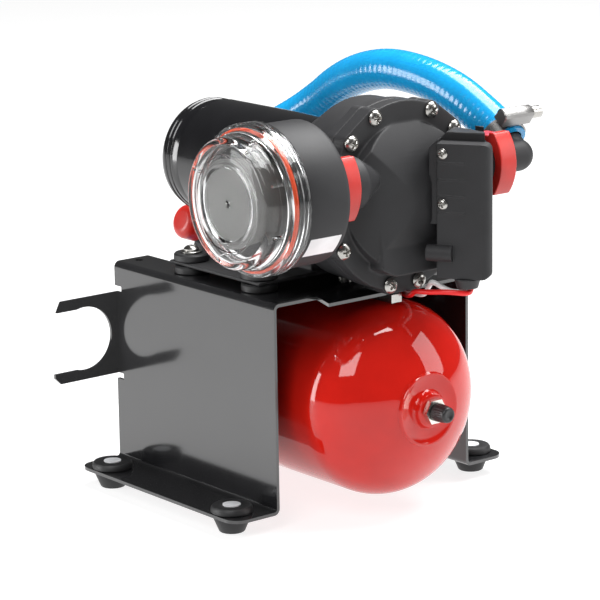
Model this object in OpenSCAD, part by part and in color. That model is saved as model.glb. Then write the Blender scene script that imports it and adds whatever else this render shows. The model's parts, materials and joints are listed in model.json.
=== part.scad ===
// Pressure water set for a caravan: a diaphragm pump with a strainer and a pressure switch,
// standing on a folded steel carrier over a red accumulator tank.
// Millimetres. Origin on the floor at the carrier's centre, +Z up, -Y towards the pump head.

/* [Carrier] */
// Outside width over the two side plates
carrier_w = 155; // [150:1:175]
// Depth of the side plates, front to back
carrier_d = 163; // [155:1:175]
// Height of the deck's top face above the floor
deck_z = 140; // [137:1:149]
// Thickness of the steel sheet
sheet_t = 2; // [1.5:0.1:2.5]
// Inside radius of the bends
bend_r = 2; // [1:0.5:4]
// Width of the bottom flanges
flange_w = 32.5; // [30:0.5:40]
// Corner radius of the bottom flanges
flange_corner_r = 10; // [4:1:14]
// Width of the tongue under the pump head, at its front
tongue_w = 102; // [90:1:110]
// Width of the tongue where it leaves the deck
tongue_root_w = 89; // [80:1:100]
// Reach of the tongue in front of the side plates
tongue_reach = 19; // [16:0.5:24]
// Width of the notch in the deck's back edge
notch_w = 102; // [80:1:110]
// Depth of the notch in the deck's back edge
notch_d = 27; // [20:1:30]
// Radius of the cable tie holes in the deck's back corners
tie_hole_r = 2.5; // [1.5:0.1:3.5]

/* [Pipe fork] */
// Reach of the fork from the side plate
fork_reach = 48.7; // [46:0.1:56]
// Height of the fork at its bend
fork_h = 53; // [50:0.5:60]
// Height of the fork's centre above the floor
fork_z = 94; // [85:1:100]
// Radius of the fork's round seat
fork_bore_r = 20.5; // [15:0.5:22]
// Distance from the side plate to the centre of the round seat
fork_centre = 25.3; // [24:0.1:30]
// Width of the fork's mouth
fork_mouth = 39.4; // [24:0.2:40]
// Width of the relief slots beside the fork's bend
relief_w = 4; // [2:0.5:6]
// Length of the relief slots beside the fork's bend
relief_d = 7; // [4:0.5:10]

/* [Floor feet] */
// Distance from the centre line to the feet, across
foot_x = 97; // [94:0.5:100]
// Distance from the centre line to the feet, front and back
foot_y = 62; // [50:1:66]
// Height of the foot's cone under the flange
foot_h = 10; // [8:0.5:14]
// Radius of the collar above the flange
foot_collar_r = 13; // [11:0.5:15]
// Height of the collar above the flange
foot_collar_h = 4.5; // [3:0.5:7]
// Radius of the cone under the flange
foot_top_r = 12; // [10:0.5:13]
// Radius of the foot on the floor
foot_floor_r = 8; // [7:0.5:10]
// Radius of the foot's neck in the flange
foot_neck_r = 8; // [7:0.5:9.5]
// Radius of the white insert in the foot
insert_r = 5.5; // [4.5:0.1:6]
// Radius of the blind screw hole in the insert
insert_bore_r = 2.5; // [2:0.1:3.5]

/* [Tank] */
// Outside radius of the tank
tank_r = 61; // [55:0.5:64]
// Distance of the tank's front crown ahead of the carrier's centre
tank_front = 134; // [125:1:140]
// Distance of the tank's back crown behind the carrier's centre
tank_back = 91; // [80:1:95]
// Wall of the tank
tank_wall = 1.5; // [1:0.1:2.5]
// Knuckle radius of the tank's ends
knuckle_r = 38; // [30:1:42]
// Crown radius of the tank's ends
crown_r = 75; // [70:1:90]
// Thickness of the rubber membrane
membrane_t = 2; // [1:0.1:3]
// Width of the hanger rail
rail_w = 8; // [8:0.5:14]
// Height of the hanger rail between tank and deck
rail_h = 5; // [4.5:0.5:8]
// Radius of the raised ring pad round the air valve
pad_r = 22.5; // [18:0.5:26]
// Radius of the air valve's stem
stem_r = 4; // [3:0.1:4.5]
// Radius of the air valve's cap
valve_cap_r = 5.7; // [5.2:0.1:7]
// Length of the air valve's cap
valve_cap_len = 11; // [8:0.5:14]
// Travel of the air valve's pin
pin_travel = 1.2; // [0.5:0.1:1.5]

/* [Pump base] */
// Height of the pump's axis above the deck
pump_rise = 59.5; // [59:0.5:75]
// Distance from the centre line to the bobbins
bobbin_x = 59; // [54:0.5:62]
// Distance of the front bobbins ahead of the carrier's centre
bobbin_front = 44.5; // [35:0.5:50]
// Spacing of the bobbins, front to back
bobbin_pitch = 68; // [60:0.5:74]
// Radius of the rubber bobbins
bobbin_r = 11.2; // [9:0.2:13]
// Height of the rubber bobbins
bobbin_h = 12.6; // [11:0.2:16]
// Height of the base plate above the deck
base_gap = 5; // [4:0.5:6]
// Thickness of the base plate
base_t = 2.5; // [1.5:0.1:3.5]
// Half width of the saddle under the motor
saddle_half_w = 24; // [18:1:28]

/* [Motor] */
// Radius of the motor can
motor_r = 36.5; // [32:0.5:38]
// Wall of the motor can
can_wall = 2; // [1.2:0.1:2.5]
// Length of the motor can
can_len = 119; // [110:1:125]
// Length of the motor's end bell
bell_len = 22; // [20:1:28]
// Rounding of the end bell's rim
bell_round = 9; // [4:1:12]
// Thickness of the sleeve round the can
sleeve_t = 0.8; // [0.5:0.1:1.2]
// Length of the sleeve round the can
sleeve_len = 106; // [90:1:110]
// Radius of the motor shaft
shaft_r = 4; // [3:0.1:4.5]
// Thickness of the magnets
magnet_t = 7.5; // [6:0.5:8]
// Gap between the magnets and the armature stack
air_gap = 1.5; // [0.5:0.1:2]
// Radius of the commutator
commutator_r = 10; // [8:0.5:11]

/* [Pump head] */
// Distance of the head's screw face ahead of the carrier's centre
head_front = 110; // [106:1:114]
// Thickness of the front cover's flange
cover_flange_t = 10; // [9:0.5:12]
// Thickness of the drive housing's flange
housing_flange_t = 8; // [6:0.5:10]
// Length of the drive housing's drum
drum_len = 30; // [28:1:34]
// Length of the drive housing's neck towards the motor
neck_len = 18; // [16:1:24]
// Radius of the drive housing's neck
neck_r = 46; // [40:1:52]
// Radius of the head between its screw lobes
head_r = 57.5; // [57:0.5:58.5]
// Radius of the screw circle
screw_circle_r = 54; // [53.6:0.1:55]
// Half angle between the two screws of a pair
screw_half_angle = 12; // [10:0.5:14]
// Radius of the lobe round each screw
lobe_r = 5.8; // [4:0.1:6]
// Radius of the screw shanks
screw_r = 2.2; // [1.8:0.1:2.5]
// Radius of the screw heads
screw_head_r = 5; // [4:0.1:5.5]
// Height of the screw heads
screw_head_h = 3.2; // [2:0.1:4]
// Radius of the dome on the front cover
dome_r = 45; // [43:0.5:46]
// Height of the dome above the screw face
dome_rise = 16; // [14:0.5:20]
// Radius of the dome's curve, side to side
dome_side_curve = 70; // [66:1:90]
// Radius of the dome's curve, top to bottom
dome_top_curve = 76; // [70:1:95]
// Half width of the flat panel low on the dome
panel_half_w = 27; // [24:0.5:32]
// Lean of that panel towards its top edge
panel_lean = 3; // [2:0.5:5]
// Thickness of the valve plate
valve_plate_t = 5; // [4:0.5:6]
// Thickness of the diaphragm
diaphragm_t = 2; // [1.5:0.1:2.5]
// Distance from the pump's axis to each chamber's axis
chamber_circle_r = 28; // [27:0.5:30]
// Radius of each piston pad
piston_r = 9.5; // [8:0.5:11]

/* [Ports] */
// Distance of the ports' axis ahead of the screw face
port_ahead = 6; // [4:0.5:8]
// Height of the ports' axis above the pump's axis
port_up = 14.5; // [10:0.5:16]
// Radius of the port fairings
port_r = 16; // [14.5:0.5:17]
// Distance from the centre line to the clips' inner side
clip_in = 54.5; // [53.6:0.1:56]
// Width of the slide clips
clip_w = 12.8; // [10:0.2:15]
// Reach of the slide clips in front of the port's axis
clip_reach = 20.5; // [19:0.5:22]
// Half height of the slide clips
clip_half_h = 19; // [18:0.5:21]
// Radius of the slide clips' curved front
clip_curve = 30; // [26:1:60]
// Thickness of the slide clips' front plate at its ends
clip_plate_t = 5; // [4:0.5:7]
// Thickness of the slide clips' two arms
clip_arm_t = 2.2; // [1.5:0.1:3]
// Radius of the port neck that the clips hold
port_neck_r = 14.5; // [13:0.1:15]
// Radius of the plug in each port
plug_r = 10.8; // [9.5:0.1:11.5]
// Radius of the water way
water_r = 7.5; // [5:0.5:8]

/* [Strainer] */
// Radius of the strainer body
strainer_r = 42; // [40:0.5:43]
// Length of the neck between the inlet clip and the strainer body
strainer_neck = 12.4; // [10:0.2:16]
// Radius of the neck between the inlet clip and the strainer body
strainer_neck_r = 16; // [13:0.5:20]
// Length of the strainer body up to the cap
strainer_len = 30; // [28:1:38]
// Length of the body's nose inside the cap
nose_len = 7.5; // [6:0.5:8]
// Wall of the strainer body
strainer_wall = 3; // [2:0.1:4]
// Outside radius of the clear cap's rim
cap_rim_r = 44.3; // [43.5:0.1:46]
// Length of the clear cap's rim
cap_rim_len = 14; // [13:0.5:18]
// Radius of the clear cap's front
cap_front_r = 36; // [33:0.5:40]
// Length of the clear cap from its rim to its front
cap_nose_len = 13; // [10:0.5:18]
// Wall of the clear cap
cap_wall = 2.5; // [1.5:0.1:3]
// Radius of the ring on the clear cap's front
cap_ring_r = 22.5; // [15:0.5:28]
// Radius of the seal's round section
seal_r = 1.6; // [1.2:0.1:2]
// Radius of the strainer screen
screen_r = 26; // [18:0.5:30]
// Wall of the strainer screen
screen_t = 0.8; // [0.5:0.1:1.5]
// Radius of the inlet spigot
spigot_r = 9.5; // [8:0.1:10]
// Length of the inlet spigot
spigot_len = 30; // [24:1:40]

/* [Hoses] */
// Outside radius of the blue hose
hose_r = 13; // [12.6:0.1:14]
// Bore radius of the blue hose
hose_bore_r = 9.8; // [9.6:0.1:10.4]
// Radius of the barbs that carry the hoses
barb_r = 9.3; // [8:0.1:9.4]
// Radius of the black elbows
elbow_r = 10; // [9.8:0.1:11]
// Distance from the outlet elbow's corner to the clip
elbow_out = 18.9; // [17:0.1:20]
// Upward tilt of the outlet elbow, in degrees
outlet_tilt = 38; // [34:1:42]
// Lean of the riser behind the tank, in degrees
riser_lean = 20; // [16:1:24]
// Distance of the riser behind the tank's back crown
riser_back = 19; // [18:0.5:24]
// Width of the hose clamp's band
band_w = 9; // [7:0.5:12]
// Thickness of the hose clamp's band
band_t = 0.9; // [0.6:0.1:1.2]
// Length of the hose clamp's screw housing
worm_len = 24; // [18:1:28]
// Radius of the hose clamp's screw housing
worm_r = 4.6; // [4:0.1:5.5]

/* [Pressure switch] */
// Width of the switch cover's face
switch_w = 32.5; // [30:0.5:36]
// Depth of the switch cover
switch_d = 12; // [11:0.5:14]
// Height of the switch cover
switch_h = 81.5; // [76:0.5:88]
// Rounding of the switch cover's corners at its free end
switch_corner_r = 5; // [3:0.5:6]
// Height of the switch cover's foot above the deck
switch_rise = 11.5; // [9:0.5:14]
// Turn of the switch about the upright axis, in degrees
switch_turn = -57; // [-62:1:-52]
// Wall of the switch cover
switch_wall = 2; // [1.5:0.1:2.5]
// Radius of the adjuster's boss
adjuster_r = 5; // [4.6:0.1:6]
// Travel of the switch plunger
plunger_travel = 0.6; // [0.3:0.1:0.8]
// Radius of the lead grommet
grommet_r = 8; // [6:0.5:10]
// Radius of each lead
lead_r = 1.6; // [1:0.1:1.8]

/* [Fits] */
// Clearance between pieces that are fitted together
fit = 0.1; // [0.05:0.01:0.15]
// Clearance between pieces that move past each other
slack = 0.3; // [0.2:0.05:0.4]

/* [Hidden] */
$fn = 64;
eps = 0.5;
carrier_x = carrier_w / 2;
carrier_y = carrier_d / 2;
bend_out = bend_r + sheet_t;
deck_under = deck_z - sheet_t;
flange_x = carrier_x + flange_w;
flange_z = foot_h;
tank_z = deck_under - rail_h - tank_r;
tank_len = tank_front + tank_back;
crown_drop = sqrt(pow(crown_r - knuckle_r, 2) - pow(tank_r - knuckle_r, 2));
end_h = crown_r - crown_drop;
seam_f = (tank_front - tank_back) / 2;
rail_front = tank_front - 31;
rail_back = -50;
rail_screw_f = [bobbin_front + 10, -30];
pad_h = 5;
pad_proud = 1.5;
nut_r = 8.2;
nut_h = 3.5;
nut_f = tank_front + pad_proud;
stem_f = nut_f + nut_h + valve_cap_len - 2;
cap_f = nut_f + nut_h + slack;
pin_r = 0.9;

pump_z = deck_z + pump_rise;
base_z = deck_z + base_gap;
bobbin_places = [for (sx = [-1, 1], f = [bobbin_front, bobbin_front - bobbin_pitch]) [sx * bobbin_x, -f]];
bobbin_neck_r = 6.8;
base_edge = 9;
foot_screw_r = 2.5;

housing_f = head_front - cover_flange_t;
drum_f = housing_f - drum_len;
motor_f = drum_f - neck_len;
can_f = motor_f - can_len;
bell_f = can_f - bell_len;
can_in_r = motor_r - can_wall;
sleeve_r = motor_r + sleeve_t;
sleeve_f = can_f + 1;
bearing_r = 9;
bearing_h = 7;
magnet_in_r = can_in_r - magnet_t;
armature_r = magnet_in_r - air_gap;
bolt_circle_r = can_in_r - 3.5;
bolt_r = 1.8;
magnet_gap_half = 7;
armature_f = [can_f + 27, motor_f - 22];
commutator_f = [can_f + 4, can_f + 17];
winding_r = armature_r - 6;
winding_h = 8;

pair_angles = [54, 126, 198, 270, 342];
screw_angles = [for (a = pair_angles, s = [-1, 1]) a + s * screw_half_angle];
screw_depth = cover_flange_t + housing_flange_t - 2;
lobe_edge = screw_circle_r * cos(screw_half_angle) + lobe_r;
lobe_half_w = screw_circle_r * sin(screw_half_angle);
stack_r = screw_circle_r - screw_r - 1;
drum_in_r = stack_r - 4;
dome_f = head_front + dome_rise;
panel_low = -dome_r;
panel_high = -dome_r + 37;
panel_f = dome_f - 3;
cavity_r = dome_r - 11;
cavity_f = head_front + 3;
chamber_angles = [for (a = pair_angles) a];
cam_tilt = 3;
cam_r = 7.5;
cam_f = [housing_f - 22, housing_f - 10];
cam_bearing_in_r = cam_r + 0.6;
cam_bearing_r = 13;
cam_bearing_f = [housing_f - 20.5, housing_f - 11.5];
wobble_f = [housing_f - 17, housing_f - 10];
wobble_r = chamber_circle_r + piston_r;
piston_f = housing_f - 1.7;
check_r = cavity_r - chamber_circle_r - 0.5;
check_t = 1.2;

port_y = -(head_front + port_ahead);
port_z = pump_z + port_up;
clip_out = clip_in + clip_w;
neck_end = clip_out + slack;
socket_in = clip_in - 3;
fairing_in = 25;
fairing_shoulder = 44;
passage_r = water_r * 0.6;
passage_f = head_front + 1;

strainer_in = neck_end + strainer_neck;
strainer_out = strainer_in + strainer_len;
nose_out = strainer_out + nose_len;
cap_in_r = strainer_r - 0.7;
nose_r = cap_in_r - fit;
cap_rim_out = strainer_out + slack + cap_rim_len;
cap_front = cap_rim_out + cap_nose_len;
seal_x = nose_out + seal_r;
seal_ring_r = nose_r - seal_r;
bowl_r = nose_r - 2 * seal_r - 1;
spigot_x = strainer_in + strainer_len * 0.55;
spigot_y = port_y + strainer_r + 2;

elbow_x = neck_end + elbow_out;
outlet_dir = [0, cos(outlet_tilt), sin(outlet_tilt)];
outlet_corner = [elbow_x, port_y, port_z];
clamp_at = elbow_r + 6.5;
worm_back = 12;
riser_dir = [sin(riser_lean), 0, cos(riser_lean)];
riser_y = tank_back + riser_back;
riser_corner = [0, riser_y, tank_z];
lower_from = 20;
lower_to = 52;
tee_at = 74;
tee_half = 22;
tee_r = 11.5;
branch_len = 16;
plug_cap_r = 11.5;
plug_cap_len = 14;
hose_start = outlet_corner + (elbow_r + 0.5) * outlet_dir;
hose_end = riser_corner + (tee_at + tee_half) * riser_dir;
hose_stop_gap = 0.3;
// Places that the blue hose passes on its way from the outlet elbow to the tee
hose_route = [[84.5, -83.5, 237], [82.5, -66.5, 246], [80.5, -48.5, 252], [78.5, -30, 255.5],
              [76.5, -11.5, 256.5], [75.5, 6.5, 254], [75.5, 24.5, 248.5], [75.5, 41, 240.5],
              [74.5, 56.5, 230], [70.5, 71.5, 219.5], [63.5, 85.5, 210], [54, 98.5, 200], [44, 107, 187]];
notch_y = carrier_y - notch_d;
// Places that the two leads pass from the grommet to the motor's end bell, as heights over the deck
red_route = [[18.5, -144, 2.8], [10, -136.5, 3.6], [5, -126, 2.6], [3.5, -116.5, 1.6], [6, -109, -2.2],
             [10, -100, -4.4], [12, -88, -4.5], [12, -60, -4.4], [12, 0, -4.4], [12, 40, -4.4],
             [12, notch_y + 0.5, -4.1], [12, notch_y + 7.5, 0.5], [11, notch_y + 14, 10], [10, 74, 20]];
white_route = [[17, -134.5, 2.5], [13.5, -128.5, 5], [11.5, -122.5, 7], [13.5, -116.5, 2.5], [16, -109, -3.4],
               [18, -95, -4.8], [18, -60, -4.8], [18, 0, -4.8], [18, 40, -4.8], [18, notch_y + 0.5, -4.3],
               [18, notch_y + 7.5, 0.5], [17, notch_y + 14, 10], [16, 74, 20]];
lead_sides = 8;
hose_sides = 12;

switch_foot = deck_z + switch_rise;
switch_top = switch_foot + switch_h;
switch_corner = [7.5, -(head_front + 21)];
switch_screw_z = [switch_top - 36.5, switch_top - 6.2];
switch_screw_x = 3.6;
switch_screw_r = 1.6;
adjuster_z = switch_foot + 15.5;
adjuster_x = -6;
adjuster_y = 0;
base_low = switch_foot + 10;
base_high = switch_top + 5;
base_chamfer = 12;
base_edge_w = 5.5;
base_edge_in = 3.5;
base_edge_low = switch_foot + 32;
wedge_back = 36;
plunger_z = switch_foot + 45;
plunger_x = 15;
plunger_r = 2.2;
grommet_h = 6;
grommet_at = [switch_w / 2 + 1, switch_d / 2];
rib_z = [for (i = [0:3]) switch_top - 12 - i * 10];

// Turns children so that their own Z runs forward along the pump's axis
module on_pump_axis() { translate([0, 0, pump_z]) rotate([90, 0, 0]) children(); }

// Turns children so that their own Z runs forward along the tank's axis
module on_tank_axis() { translate([0, 0, tank_z]) rotate([90, 0, 0]) children(); }

// Turns children so that their own Z runs outward along a port: side -1 is the inlet, 1 the outlet
module on_port(side) { translate([0, port_y, port_z]) rotate([0, side * 90, 0]) children(); }

// Turns children so that their own Z runs up the outlet elbow
module on_outlet() { translate(outlet_corner) rotate([outlet_tilt - 90, 0, 0]) children(); }

// Turns children so that their own Z runs up the riser
module on_riser() { translate(riser_corner) rotate([0, riser_lean, 0]) children(); }

// Turns children into the switch's own frame: X along its face, Y into its depth
module on_switch() { translate(switch_corner) rotate([0, 0, switch_turn]) children(); }

// Round bar along Z from a to b
module bar(a, b, r) { translate([0, 0, a]) cylinder(h = b - a, r = r); }

// Round tube along Z from a to b
module tube(a, b, ro, ri) {
    difference() {
        bar(a, b, ro);
        bar(a - eps, b + eps, ri);
    }
}

// Pan-head screw: head up from z = 0, shank down to -len, cross recess in the head
module pan_screw(shank_r, len, head_r, head_h) {
    difference() {
        union() {
            bar(-len, eps, shank_r);
            bar(0, head_h * 0.55, head_r);
            translate([0, 0, head_h * 0.55]) cylinder(h = head_h * 0.45, r1 = head_r, r2 = head_r * 0.72);
        }
        for (a = [0, 90])
            rotate(a) translate([-head_r * 0.5, -head_r * 0.12, head_h * 0.5])
                cube([head_r, head_r * 0.24, head_h]);
    }
}

// Point on a smooth curve through four points, at t from 0 to 1 between the middle two
function curve_at(a, b, c, d, t) =
    0.5 * (2 * b + (c - a) * t + (2 * a - 5 * b + 4 * c - d) * t * t + (3 * b - a - 3 * c + d) * t * t * t);

// Smooth curve through points, with steps between each two
function smooth(p, steps) =
    let (n = len(p) - 1)
    [for (i = [0:n - 1], s = [0:steps - 1])
        curve_at(p[max(i - 1, 0)], p[i], p[i + 1], p[min(i + 2, n)], s / steps), p[n]];

function unit(v) = v / norm(v);

function tangent(p, i) = unit(p[min(i + 1, len(p) - 1)] - p[max(i - 1, 0)]);

// Side directions carried along a path with no twist
function sides(p, start, i = 0) =
    i == len(p) ? [] :
    let (t = tangent(p, i), s = unit(start - (start * t) * t))
    concat([s], sides(p, s, i + 1));

// Rings of points round a path
function rings(p, r, n, start) =
    let (side = sides(p, start))
    [for (i = [0:len(p) - 1], k = [0:n - 1])
        let (t = tangent(p, i), a = 360 * k / n)
        p[i] + r * (cos(a) * side[i] + sin(a) * cross(t, side[i]))];

// Solid swept bar along a path
module swept_bar(p, r, n, start) {
    last = (len(p) - 1) * n;
    wall = [for (i = [0:len(p) - 2], k = [0:n - 1])
        let (a = i * n + k, b = i * n + (k + 1) % n)
        each [[a, a + n, b], [b, a + n, b + n]]];
    ends = [[for (k = [0:n - 1]) k], [for (k = [n - 1:-1:0]) last + k]];
    polyhedron(rings(p, r, n, start), concat(wall, ends));
}

// Swept pipe along a path with a bore
module swept_pipe(p, ro, ri, n, start) {
    count = len(p) * n;
    outer = [for (i = [0:len(p) - 2], k = [0:n - 1])
        let (a = i * n + k, b = i * n + (k + 1) % n)
        each [[a, a + n, b], [b, a + n, b + n]]];
    inner = [for (f = outer) [f[0] + count, f[2] + count, f[1] + count]];
    caps = [for (k = [0:n - 1])
        let (m = (k + 1) % n, e = count - n)
        each [[k, m, k + count], [m, m + count, k + count],
              [e + k, e + k + count, e + m], [e + m, e + k + count, e + m + count]]];
    polyhedron(concat(rings(p, ro, n, start), rings(p, ri, n, start)), concat(outer, inner, caps));
}

// Bend of the sheet in its section: a quarter ring in the quadrant given by sx and sy
module bend_section(sx, sy) {
    intersection() {
        difference() {
            circle(bend_out);
            circle(bend_r);
        }
        scale_x = sx > 0 ? 0 : -bend_out;
        scale_y = sy > 0 ? 0 : -bend_out;
        translate([scale_x, scale_y]) square(bend_out);
    }
}

// Half of the carrier's folded section, on the +X side
module half_section() {
    translate([-eps, deck_under]) square([carrier_x - bend_out + eps, sheet_t]);
    translate([carrier_x - bend_out, deck_z - bend_out]) bend_section(1, 1);
    translate([carrier_x - sheet_t, flange_z + bend_out])
        square([sheet_t, deck_z - flange_z - 2 * bend_out]);
    translate([carrier_x + bend_r, flange_z + bend_out]) bend_section(-1, -1);
    translate([carrier_x + bend_r, flange_z]) square([flange_w - bend_r, sheet_t]);
}

// Carrier seen from above: side plates, flanges with round corners, tongue and back notch
module carrier_outline() {
    difference() {
        union() {
            square([2 * (flange_x - flange_corner_r), carrier_d], center = true);
            square([2 * flange_x, carrier_d - 2 * flange_corner_r], center = true);
            for (sx = [-1, 1], sy = [-1, 1])
                translate([sx * (flange_x - flange_corner_r), sy * (carrier_y - flange_corner_r)])
                    circle(flange_corner_r);
            polygon([[-tongue_root_w / 2, -carrier_y + eps], [-tongue_root_w / 2, -carrier_y],
                     [-tongue_w / 2, -carrier_y - tongue_reach], [tongue_w / 2, -carrier_y - tongue_reach],
                     [tongue_root_w / 2, -carrier_y], [tongue_root_w / 2, -carrier_y + eps]]);
        }
        translate([-notch_w / 2, carrier_y - notch_d]) square([notch_w, notch_d + eps]);
    }
}

// Fork bent out of the left side plate's back edge, with a round seat and a narrower mouth
module pipe_fork() {
    tip = 12;
    seat_x = -carrier_x - fork_centre;
    arm_half = fork_h / 2;
    mouth_half = fork_mouth / 2;
    translate([0, carrier_y, fork_z]) rotate([90, 0, 0]) linear_extrude(sheet_t) difference() {
        polygon([[-carrier_x + sheet_t, -arm_half], [-carrier_x - fork_reach + tip / 3, -arm_half],
                 [-carrier_x - fork_reach, -arm_half + tip / 3], [-carrier_x - fork_reach, arm_half - tip],
                 [-carrier_x - fork_reach + tip / 2, arm_half], [-carrier_x + sheet_t, arm_half]]);
        translate([seat_x, 0]) circle(fork_bore_r);
        polygon([[seat_x, mouth_half], [-carrier_x - fork_reach - eps, mouth_half],
                 [-carrier_x - fork_reach - eps, -mouth_half], [seat_x, -mouth_half]]);
    }
}

module carrier_frame() {
    color([0.07, 0.07, 0.08]) difference() {
        union() {
            intersection() {
                translate([0, carrier_y, 0]) rotate([90, 0, 0])
                    linear_extrude(carrier_d + tongue_reach) {
                        half_section();
                        mirror([1, 0]) half_section();
                    }
                linear_extrude(deck_z + eps) carrier_outline();
            }
            pipe_fork();
        }
        for (s = [-1, 1])
            translate([-carrier_x - eps, carrier_y - relief_d, fork_z + s * (fork_h + relief_w) / 2])
                translate([0, 0, -relief_w / 2]) cube([sheet_t + 2 * eps, relief_d + eps, relief_w]);
        for (sx = [-1, 1], sy = [-1, 1])
            translate([sx * foot_x, sy * foot_y, 0]) bar(0, flange_z + sheet_t + eps, foot_neck_r + fit);
        for (p = bobbin_places)
            translate(p) bar(deck_under - eps, deck_z + eps, foot_screw_r + fit);
        for (f = rail_screw_f)
            translate([0, -f]) bar(deck_under - eps, deck_z + eps, screw_r + fit);
        for (s = [-1, 1])
            translate([s * (carrier_x - 14), carrier_y - 8]) bar(deck_under - eps, deck_z + eps, tie_hole_r);
    }
}

module floor_feet() {
    color([0.1, 0.1, 0.1]) for (sx = [-1, 1], sy = [-1, 1])
        translate([sx * foot_x, sy * foot_y, 0]) difference() {
            union() {
                cylinder(h = foot_h, r1 = foot_floor_r, r2 = foot_top_r);
                bar(foot_h - eps, foot_h + sheet_t + eps, foot_neck_r);
                bar(foot_h + sheet_t, foot_h + sheet_t + foot_collar_h, foot_collar_r);
            }
            bar(-eps, foot_h + sheet_t + foot_collar_h + eps, insert_r);
        }
}

module foot_inserts() {
    color([0.88, 0.88, 0.9]) for (sx = [-1, 1], sy = [-1, 1])
        translate([sx * foot_x, sy * foot_y, 0]) difference() {
            bar(0, foot_h + sheet_t + foot_collar_h + slack, insert_r);
            bar(-eps, foot_h + sheet_t, insert_bore_r);
        }
}

// Half section of one tank end, offset inwards by gap: the straight wall starts at y = 0
module end_section(gap, straight) {
    kr = knuckle_r - gap;
    cr = crown_r - gap;
    reach = crown_r * 1.2;
    slope = (tank_r - knuckle_r) / crown_drop;
    square([tank_r - gap, straight]);
    intersection() {
        translate([tank_r - knuckle_r, 0]) circle(kr);
        translate([0, -reach]) square([tank_r, reach + eps]);
    }
    intersection() {
        translate([0, crown_drop]) circle(cr);
        polygon([[0, crown_drop], [0, crown_drop - reach], [reach * slope, crown_drop - reach]]);
        translate([0, -reach]) square([reach, reach + eps]);
    }
}

// Shell of one tank half: its seam lies at z = 0 and its crown at z = -len
module tank_half(len) {
    straight = len - end_h;
    translate([0, 0, -straight]) rotate_extrude() difference() {
        end_section(0, straight);
        end_section(tank_wall, straight + eps);
    }
}

// Raised pad round the air valve, following the crown, with a flat boss under the nut
module valve_pad() {
    translate([0, 0, tank_front - crown_r]) rotate_extrude() intersection() {
        difference() {
            circle(crown_r + pad_proud);
            circle(crown_r - tank_wall / 2);
        }
        square([pad_r, crown_r + 2 * pad_proud]);
    }
    bar(tank_front - tank_wall / 2, nut_f, nut_r + 3);
}

module tank_front_shell() {
    half = tank_front - seam_f;
    color([0.78, 0.08, 0.07]) on_tank_axis() difference() {
        union() {
            translate([0, 0, seam_f]) mirror([0, 0, 1]) tank_half(half);
            valve_pad();
        }
        bar(tank_front - 2 * pad_h, tank_front + pad_h, stem_r + fit);
    }
}

module tank_back_shell() {
    half = tank_back + seam_f;
    color([0.78, 0.08, 0.07]) on_tank_axis() difference() {
        translate([0, 0, seam_f]) tank_half(half);
        bar(-tank_back - eps, -tank_back + pad_h, barb_r + fit);
    }
}

module tank_membrane() {
    in_r = tank_r - tank_wall - fit;
    deep = tank_back * 0.5;
    color([0.15, 0.15, 0.16]) on_tank_axis() difference() {
        bar(seam_f - deep, seam_f + tank_wall, in_r);
        bar(seam_f - deep + membrane_t, seam_f + 2 * tank_wall, in_r - membrane_t);
    }
}

module tank_rail() {
    color([0.6, 0.6, 0.6]) difference() {
        translate([-rail_w / 2, -rail_front, tank_z + tank_r - 0.2])
            cube([rail_w, rail_front - rail_back, rail_h + 0.2]);
        on_tank_axis() bar(rail_back - eps, rail_front + eps, tank_r);
        for (f = rail_screw_f)
            translate([0, -f]) bar(deck_under - rail_h + 1, deck_under + eps, screw_r + fit);
    }
}

module rail_screws() {
    color([0.75, 0.75, 0.75]) for (f = rail_screw_f)
        translate([0, -f, deck_z])
            pan_screw(screw_r, sheet_t + rail_h - 1.5, screw_head_r * 0.9, base_gap * 0.6);
}

module valve_stem() {
    color([0.8, 0.8, 0.78]) on_tank_axis() difference() {
        bar(tank_front - 2 * pad_h, stem_f, stem_r);
        bar(stem_f - 6, stem_f + eps, pin_r + fit / 2);
    }
}

module valve_nut() {
    color([0.85, 0.84, 0.8]) on_tank_axis() difference() {
        translate([0, 0, nut_f]) cylinder(h = nut_h, r = nut_r, $fn = 6);
        bar(nut_f - eps, nut_f + nut_h + eps, stem_r + fit);
    }
}

module valve_pin() {
    color([0.8, 0.75, 0.5]) on_tank_axis() bar(stem_f - 6 + pin_travel + slack, stem_f - slack, pin_r);
}

module valve_cap() {
    grips = 18;
    color([0.06, 0.06, 0.06]) on_tank_axis() difference() {
        bar(cap_f, cap_f + valve_cap_len, valve_cap_r);
        bar(cap_f - eps, stem_f + slack, stem_r + fit);
        for (i = [0:grips - 1])
            rotate(360 * i / grips) translate([valve_cap_r, 0])
                bar(cap_f + 1.5, cap_f + valve_cap_len - 1.5, 0.45);
    }
}

module pump_base() {
    edge_x = bobbin_x + base_edge;
    front = bobbin_front + base_edge + 2;
    back = bobbin_front - bobbin_pitch - base_edge - 2;
    color([0.1, 0.1, 0.11]) difference() {
        union() {
            translate([-edge_x, -front, base_z]) cube([2 * edge_x, front - back, base_t]);
            translate([-saddle_half_w, -front + 4, base_z])
                cube([2 * saddle_half_w, front - back - 8, pump_z - motor_r * 0.76 - base_z]);
        }
        on_pump_axis() bar(can_f - bell_len, motor_f + eps, sleeve_r);
        for (p = bobbin_places)
            translate(p) bar(base_z - eps, base_z + base_t + eps, bobbin_neck_r + fit);
        for (f = rail_screw_f)
            translate([0, -f]) bar(base_z - eps, base_z + base_t + 4, screw_head_r * 0.9 + slack);
    }
}

module pump_bobbins() {
    color([0.08, 0.08, 0.08]) for (p = bobbin_places)
        translate([p[0], p[1], deck_z]) difference() {
            union() {
                bar(0, base_gap, bobbin_r);
                bar(base_gap - eps, base_gap + base_t + eps, bobbin_neck_r);
                bar(base_gap + base_t, bobbin_h, bobbin_r);
            }
            bar(-eps, bobbin_h + eps, foot_screw_r + fit);
        }
}

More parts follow.
